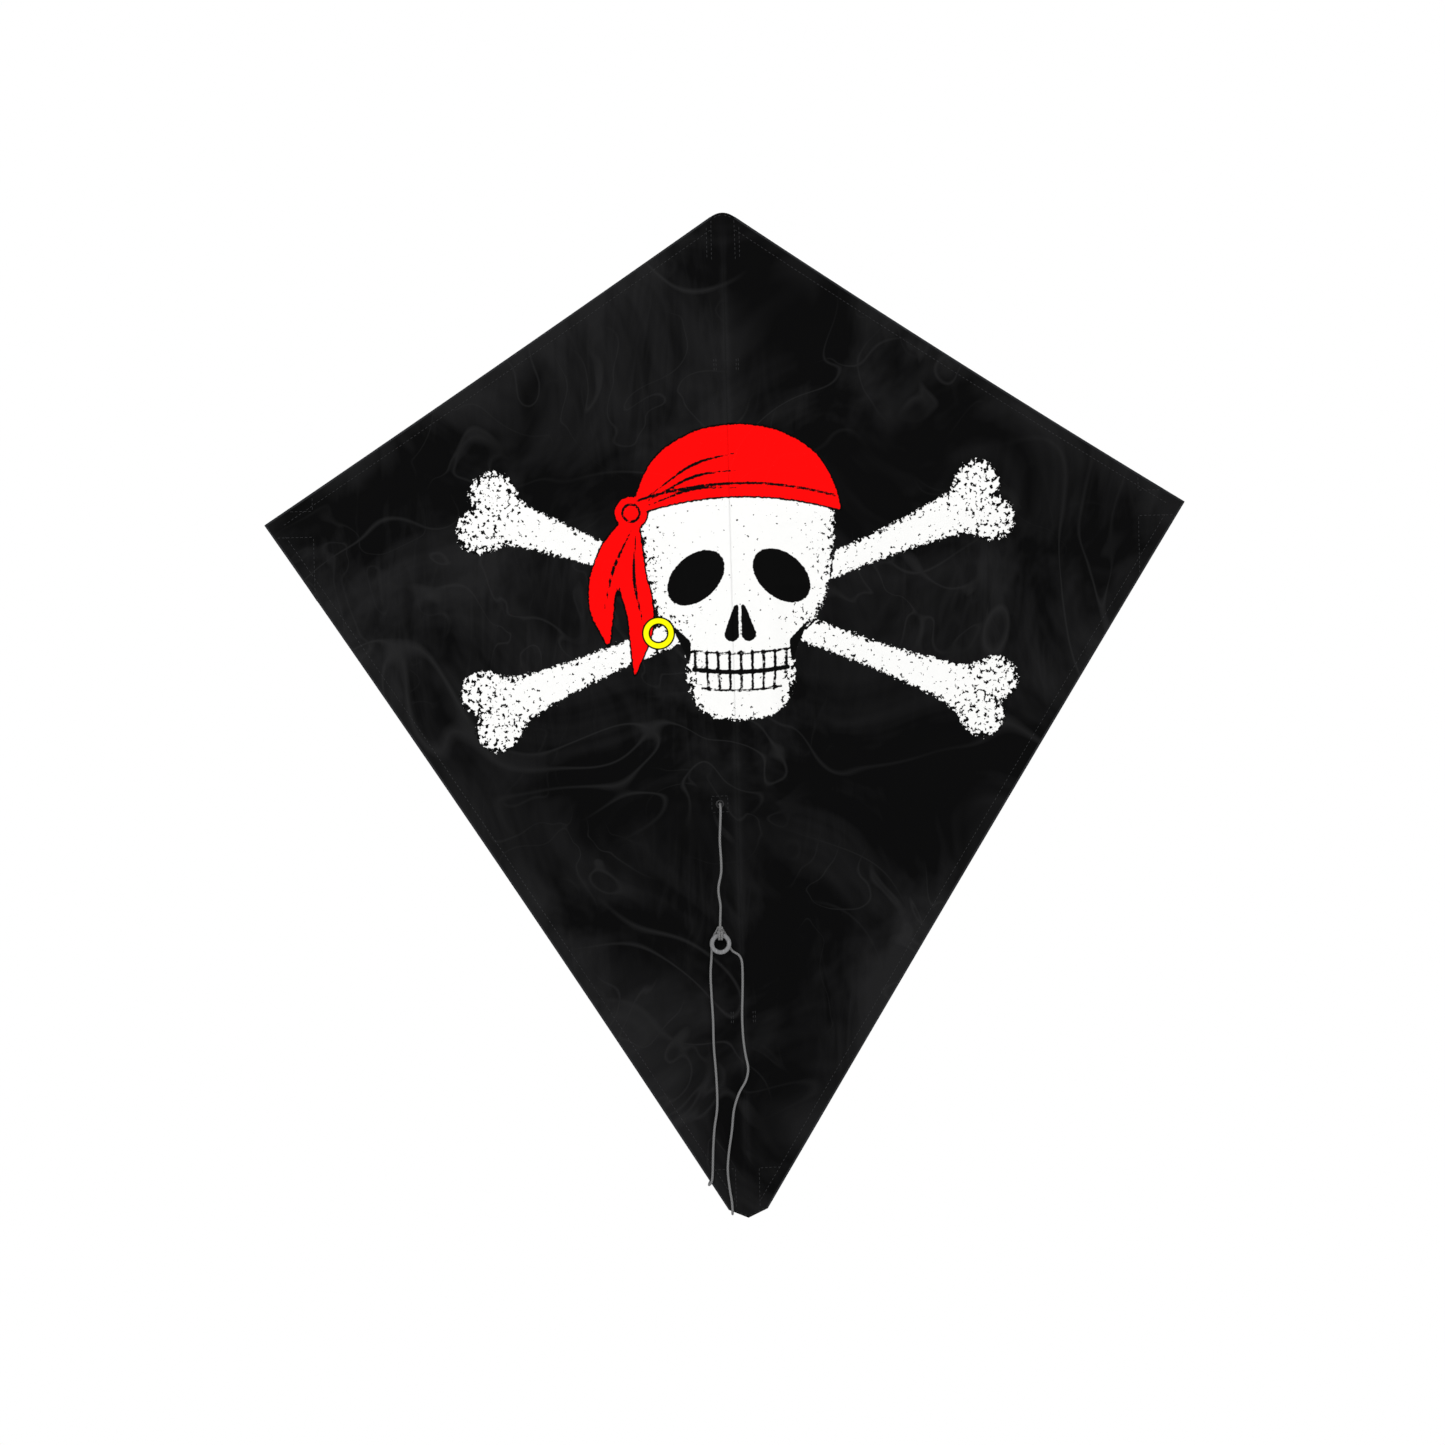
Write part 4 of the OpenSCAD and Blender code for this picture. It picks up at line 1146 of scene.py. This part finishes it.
def make_tab():
    """The loop of tape at the tail: a band 8 mm wide round a drop-shaped path, sewn down at its foot."""
    a = np.linspace(0, 2 * np.pi, 64, endpoint=False)[:, None]
    pinch = 1 - 0.16 * np.exp(-((np.abs(a - np.pi * 1.5)) / 0.55)**2)
    wide = np.array([-1, -1, -0.93, 0.93, 1, 1, 0.93, -0.93])[None]
    thick = np.array([-0.22, 0.22, 0.3, 0.3, 0.22, -0.22, -0.3, -0.3])[None]
    middle = sum(TAB_X) / 2
    r = 2.5 * pinch + thick
    points = placed(middle + wide * 4, TAB_Y + r * np.sin(a), TAB_Z + r * np.cos(a) * 1.02)
    quads, row, column = grid_faces(64, 8, wrap_rows=True, wrap_columns=True)
    corner_uv = np.stack([column.ravel() * 2.0, row.ravel() * 0.25], -1)
    loop = (points, quads, np.zeros((0, 3), int))
    # the sewn foot: a short double layer between the loop and the hem
    rows, k = 13, 6
    t = np.linspace(-2.6, 2.6, rows)[:, None]
    s = np.array([(-4, 0.0), (-4, 0.5), (-3.7, 0.62), (3.7, 0.62), (4, 0.5), (4, 0.0)])
    fy = -8.86 + s[:, 1][None] * (0.9 + 0.1 * np.cos(t))
    foot_points = placed(middle + s[:, 0][None], fy, TAB_Z + t)
    foot_quads, frow, fcolumn = grid_faces(rows, k, wrap_columns=True)
    c = np.arange(1, k - 1)
    last = (rows - 1) * k
    caps = np.vstack([np.stack([0 * c, c + 1, c], -1), np.stack([0 * c + last, last + c, last + c + 1], -1)])
    points, quads, triangles = joined([loop, (foot_points, foot_quads, caps)])
    corner_uv = np.vstack([corner_uv, np.stack([fcolumn.ravel() * 2.0, frow.ravel() * 0.43], -1)])
    piece = facing_out(make_piece("tail_loop", points, quads, tape, triangles, corner_uv))
    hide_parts("tail_tab")
    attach(piece, "root")


PATCH_HALF, PATCH_T = 7.0, 0.18


def make_patch():
    """The square of tape behind the eyelet: its corners are rounded and its edges turned under."""
    s = np.linspace(-1, 1, 45)
    sx, sz = np.meshgrid(s, s)
    r = np.maximum(np.abs(sx), np.abs(sz))
    squash = r / np.maximum((np.abs(sx)**7 + np.abs(sz)**7)**(1 / 7), 1e-9)
    x = EYELET[0] + PATCH_HALF * sx * squash
    z = EYELET[1] + PATCH_HALF * sz * squash
    height = 0.10 * soft_step((r - 0.78) / 0.1) - 0.06 * np.exp(-((r - 0.76) / 0.04)**2)
    stand = CLOTH_T / 2 + PATCH_T / 2 + 0.02 + height
    tape_wall("eyelet_patch", x, z, stand, PATCH_T, patch_tape, "bridle_patch", "root", hole=PATCH_HOLE)


def make_eyelet():
    """The eyelet's front, a rolled rim and barrel, and the washer behind it: two profiles turned round."""
    a = np.linspace(-0.35 * np.pi, 1.2 * np.pi, 14)
    rim = np.stack([2.35 + 0.62 * np.cos(a), -9.72 - 0.36 * np.sin(a)], -1)
    barrel = [
        (1.72, -9.72), (1.53, -9.3), (1.52, -8.6), (1.62, -8.52), (1.86, -8.56), (1.88, -9.5), (2.3, -9.58),
    ]
    axis = (EYELET[0], 0, EYELET[1])
    points, quads = lathe(axis, np.vstack([rim, barrel]), 56)
    front = facing_out(make_piece("eyelet_rim", points, quads, black_metal))
    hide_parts("bridle_eyelet")
    a = np.linspace(0.15, np.pi - 0.15, 10)
    roll = np.stack([2.46 + 0.52 * np.cos(a), -8.83 + 0.30 * np.sin(a)], -1)
    points, quads = lathe(axis, np.vstack([roll, [(1.93, -8.86), (1.93, -9.0), (2.98, -9.0)]]), 56)
    back = facing_out(make_piece("eyelet_back", points, quads, black_metal))
    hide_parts("eyelet_washer")
    for piece in (front, back):
        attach(piece, "root")


# ---- Stitches ----
STITCH_LONG, STITCH_PITCH, STITCH_R = 2.3, 3.1, 0.19


def dashes(x, z, ahead, y, out):
    """One small closed loop of thread for each place: a bead with five sides and four rings, stretched
    along the seam, its ends pressed into the cloth. out is -1 on the front and 1 on the back."""
    s = np.array([-1, -0.62, 0.0, 0.62, 1])
    r = STITCH_R * np.array([0.35, 0.95, 1.0, 0.95, 0.35])
    sink = np.array([-0.22, -0.02, 0.05, -0.02, -0.22])
    a = np.arange(6) * np.pi / 3
    along = (s * STITCH_LONG / 2)[:, None]
    side = r[:, None] * np.cos(a)
    high = r[:, None] * np.sin(a) * 0.8 + sink[:, None]
    x, y, z, ax, az = (v[:, None, None] for v in (x, y, z, ahead[:, 0], ahead[:, 1]))
    points = placed(x + ax * along - az * side, y + out * high, z + az * along + ax * side)
    one, _, _ = grid_faces(5, 6, wrap_columns=True, turned=out < 0)
    starts = (np.arange(len(x)) * 30)[:, None, None]
    quads = (one[None] + starts).reshape(-1, 4)
    k = np.arange(1, 5)
    fan = np.vstack([np.stack([0 * k, k, k + 1], -1), np.stack([0 * k + 24, 24 + k + 1, 24 + k], -1)])
    fan = fan if out > 0 else fan[:, ::-1]
    return points, quads, (fan[None] + starts).reshape(-1, 3)


def row_of(points):
    """Places of stitches along a line of (x, z) points, each with the direction of the step it lies on."""
    p = np.asarray(points, float)
    run = run_along(p)
    at = np.arange(STITCH_PITCH / 2, run[-1] - STITCH_PITCH / 3, STITCH_PITCH)
    x, z = (np.interp(at, run, p[:, k]) for k in (0, 1))
    step = np.searchsorted(run, at, side="right") - 1
    return x, z, unit(np.diff(p, axis=0))[step]


POCKET_SEAMS = (
    ((7.9, 203.2), (8.1, 196), (8.3, 174.6)), ((11.3, 198.5), (11.4, 174.6)), ((0.6, 206.6), (7.2, 204.4)),
    ((8.4, -487.5), (8.4, -459.8)), ((8.8, -459.9), (24.5, -459.9)), ((0.6, -493.4), (12.6, -488.0)),
    ((288.5, 9.2), (288.5, 19.5)), ((288.5, -9.2), (288.5, -49.5)),
    ((288.8, 8.9), (305.5, 8.9)), ((288.8, -8.9), (314.0, -8.9)),
)


def seam_rows(side):
    """Every sewn line on one half: its points, how high the cloth layers stand behind it, and its faces."""
    lines = []
    for which in ("lead", "trail"):
        share = np.linspace(0.012, 0.995, 160)
        x, z = hem_place(side, which, share, np.full(share.shape, 7.3))
        lines.append((np.stack([x, z], -1), 0.66, True))
    lines += [([(side * x, z) for x, z in seam], 1.16, True) for seam in POCKET_SEAMS]
    for middle in KEEPERS:
        for x, stack in ((7.0, 0.72), (8.5, 1.0)):
            lines.append(([(side * x, middle - 5.4), (side * x, middle + 5.4)], stack, True))
    if side < 0:
        square = ((-1, -1), (1, -1), (1, 1), (-1, 1), (-1, -1))
        lines.append(([(EYELET[0] + 5.6 * x, EYELET[1] + 5.6 * z) for x, z in square], 0.30, True))
    else:
        lines += [([(6.2, TAB_Z + up), (12.9, TAB_Z + up)], 1.28, False) for up in (1.9, -1.9)]
    return lines


def make_stitches(side):
    """All the stitches of one half, front and back, as one piece."""
    parts = []
    for points, stack, both in seam_rows(side):
        x, z, ahead = row_of(points)
        y = cloth_y(x, z)
        parts.append(dashes(x, z, ahead, y + stack, 1))
        if both:
            parts.append(dashes(x, z, ahead, y - CLOTH_T / 2, -1))
    points, quads, triangles = joined(parts)
    piece = make_piece(hand(side) + "_stitches", points, quads, thread, triangles)
    bend_with(piece)
    return piece


# ---- Rubber necks over the knuckles, and mouldings on the hub ----
def make_neck(side):
    """The ribbed neck between the hub's stub and an arm's sleeve, which on the kite bends as the wing folds;
    here it is one fixed piece.
    """
    x = np.linspace(13.4, 22.6, 93)
    share = (x - x[0]) / (x[-1] - x[0])
    radius = 3.42 + 0.42 * share + 0.20 * np.cos((share - 0.5) * 2 * np.pi * 5) * np.sin(share * np.pi)
    radius = radius * np.where(share < 0.03, 0.975, 1.0) * np.where(share > 0.97, 0.975, 1.0)
    (points, quads, triangles), corner_uv = tube(placed(side * x, ROD_Y, 0), radius, 48)
    piece = make_piece(hand(side) + "_neck", points, quads, neck_rubber, triangles, corner_uv)
    facing_out(piece)
    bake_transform(piece)


def make_mouldings():
    """Raised bands on the hub and the sleeves: rings of rubber with a rounded section."""
    a = np.linspace(0, 2 * np.pi, 16, endpoint=False)
    for name, body, places, axis, inner in (
        ("hub_bands", "root", (-13.2, -8.4, 8.4, 13.2), 2, 4.0),
        ("left_sleeve_bands", "left_wing", (-23.0, -26.6, -50.6), 0, 3.75),
        ("right_sleeve_bands", "right_wing", (23.0, 26.6, 50.6), 0, 3.75),
    ):
        parts = []
        for at in places:
            t = np.linspace(0, 2 * np.pi, 56, endpoint=False)[:, None]
            r = inner + 0.02 + 0.26 * np.cos(a)[None]
            off = at + 0.8 * np.sin(a)[None]
            p, q = r * np.cos(t), r * np.sin(t)
            points = placed(off, ROD_Y + p, q) if axis == 0 else placed(p, ROD_Y + q, off)
            quads, _, _ = grid_faces(56, 16, wrap_rows=True, wrap_columns=True)
            parts.append((points, quads, np.zeros((0, 3), int)))
        points, quads, triangles = joined(parts)
        piece = facing_out(make_piece(name, points, quads, rubber, triangles))
        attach(piece, body)


# ---- Putting it together ----
def half_area(side):
    """Flat area of one half of the sail, by the shoelace sum over its outline, in square metres."""
    z = np.concatenate([np.linspace(NOSE_CORNER[1], 0, 200), np.linspace(0, TAIL_CORNER[1], 300)[1:]])
    x = edge_at(z, side)
    x = np.concatenate([[0], x, [0]])
    z = np.concatenate([[NOSE_Z - 1], z, [TAIL_Z]])
    return 0.5 * abs(np.sum(x * np.roll(z, -1) - z * np.roll(x, -1))) * MM * MM


make_end_pocket("nose_pocket_tape", "nose_pocket", NOSE_Z, 174.0, False)
make_end_pocket("tail_pocket_tape", "tail_pocket", TAIL_Z, -459.0, True)
make_keeper("upper_keeper_tape", "upper_keeper", KEEPERS[0])
make_keeper("lower_keeper_tape", "lower_keeper", KEEPERS[1])
make_patch()
make_eyelet()
make_tab()
make_mouldings()
for side, prefix in ((-1, "left"), (1, "right")):
    cloth = make_sail(side)
    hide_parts(prefix + "_sail", *(("sail_centre",) if side < 0 else ()))
    hems = [make_hem(side, which, f"{prefix}_{which}ing_hem") for which in ("lead", "trail")]
    sewn = [*hems, make_stitches(side), make_tip_pocket(side)]
    make_neck(side)
    half_area(side)

for names, finish in (
    (("spine",), spine_rod), (("left_spar", "right_spar"), spar_rod),
    (("nose_cap", "tail_cap", "left_tip_cap", "right_tip_cap", "upper_collar", "lower_collar"), vinyl),
    (("hub", "left_arm", "right_arm"), rubber),
):
    for name in names:
        held = nodes[name].data.materials
        held.clear()
        held.append(finish)


# ---- Floor, light and world ----
FLOOR_Z = -1000


def make_stage():
    """A plain pale disc of floor below the kite, white light from all round, and three soft lamps."""
    a = np.linspace(0, 2 * np.pi, 96, endpoint=False)
    rings = np.array([0.0, 400, 800, 1120, 1150])[:, None]
    drop = np.array([0.0, 0, 0, 0, -12])[:, None]
    x, y = rings * np.cos(a), rings * np.sin(a)
    quads, _, _ = grid_faces(5, 96, wrap_columns=True)
    finish = Finish("pale_floor", Specular_IOR_Level=0.2)
    speck = finish.noise(finish.place(), 30, 4, 0.6)
    look = finish.look(finish.mix(speck, (0.74, 0.74, 0.74), (0.82, 0.82, 0.82)), 0.7)
    make_piece("floor", placed(x, y, FLOOR_Z + drop), quads, look)
    world = bpy.data.worlds.new("studio")
    world.use_nodes = True
    background = world.node_tree.nodes["Background"].inputs
    background["Color"].default_value = (1, 1, 1, 1)
    background["Strength"].default_value = 1.0
    scene.world = world
    for name, place, size, power in (
        ("key", (-1.3, -2.1, 1.4), 1.2, 38),
        ("fill", (1.7, -1.6, 0.3), 1.4, 5),
        ("back", (1.1, 2.0, 1.3), 1.2, 34),
    ):
        lamp = bpy.data.lights.new(name, "AREA")
        lamp.size = size
        lamp.energy = power
        holder = bpy.data.objects.new(name, lamp)
        scene.collection.objects.link(holder)
        holder.location = place
        aim = Vector((0, 0, -0.15)) - Vector(place)
        holder.rotation_euler = aim.to_track_quat("-Z", "Y").to_euler()
    scene.view_settings.view_transform = "Standard"


make_stage()
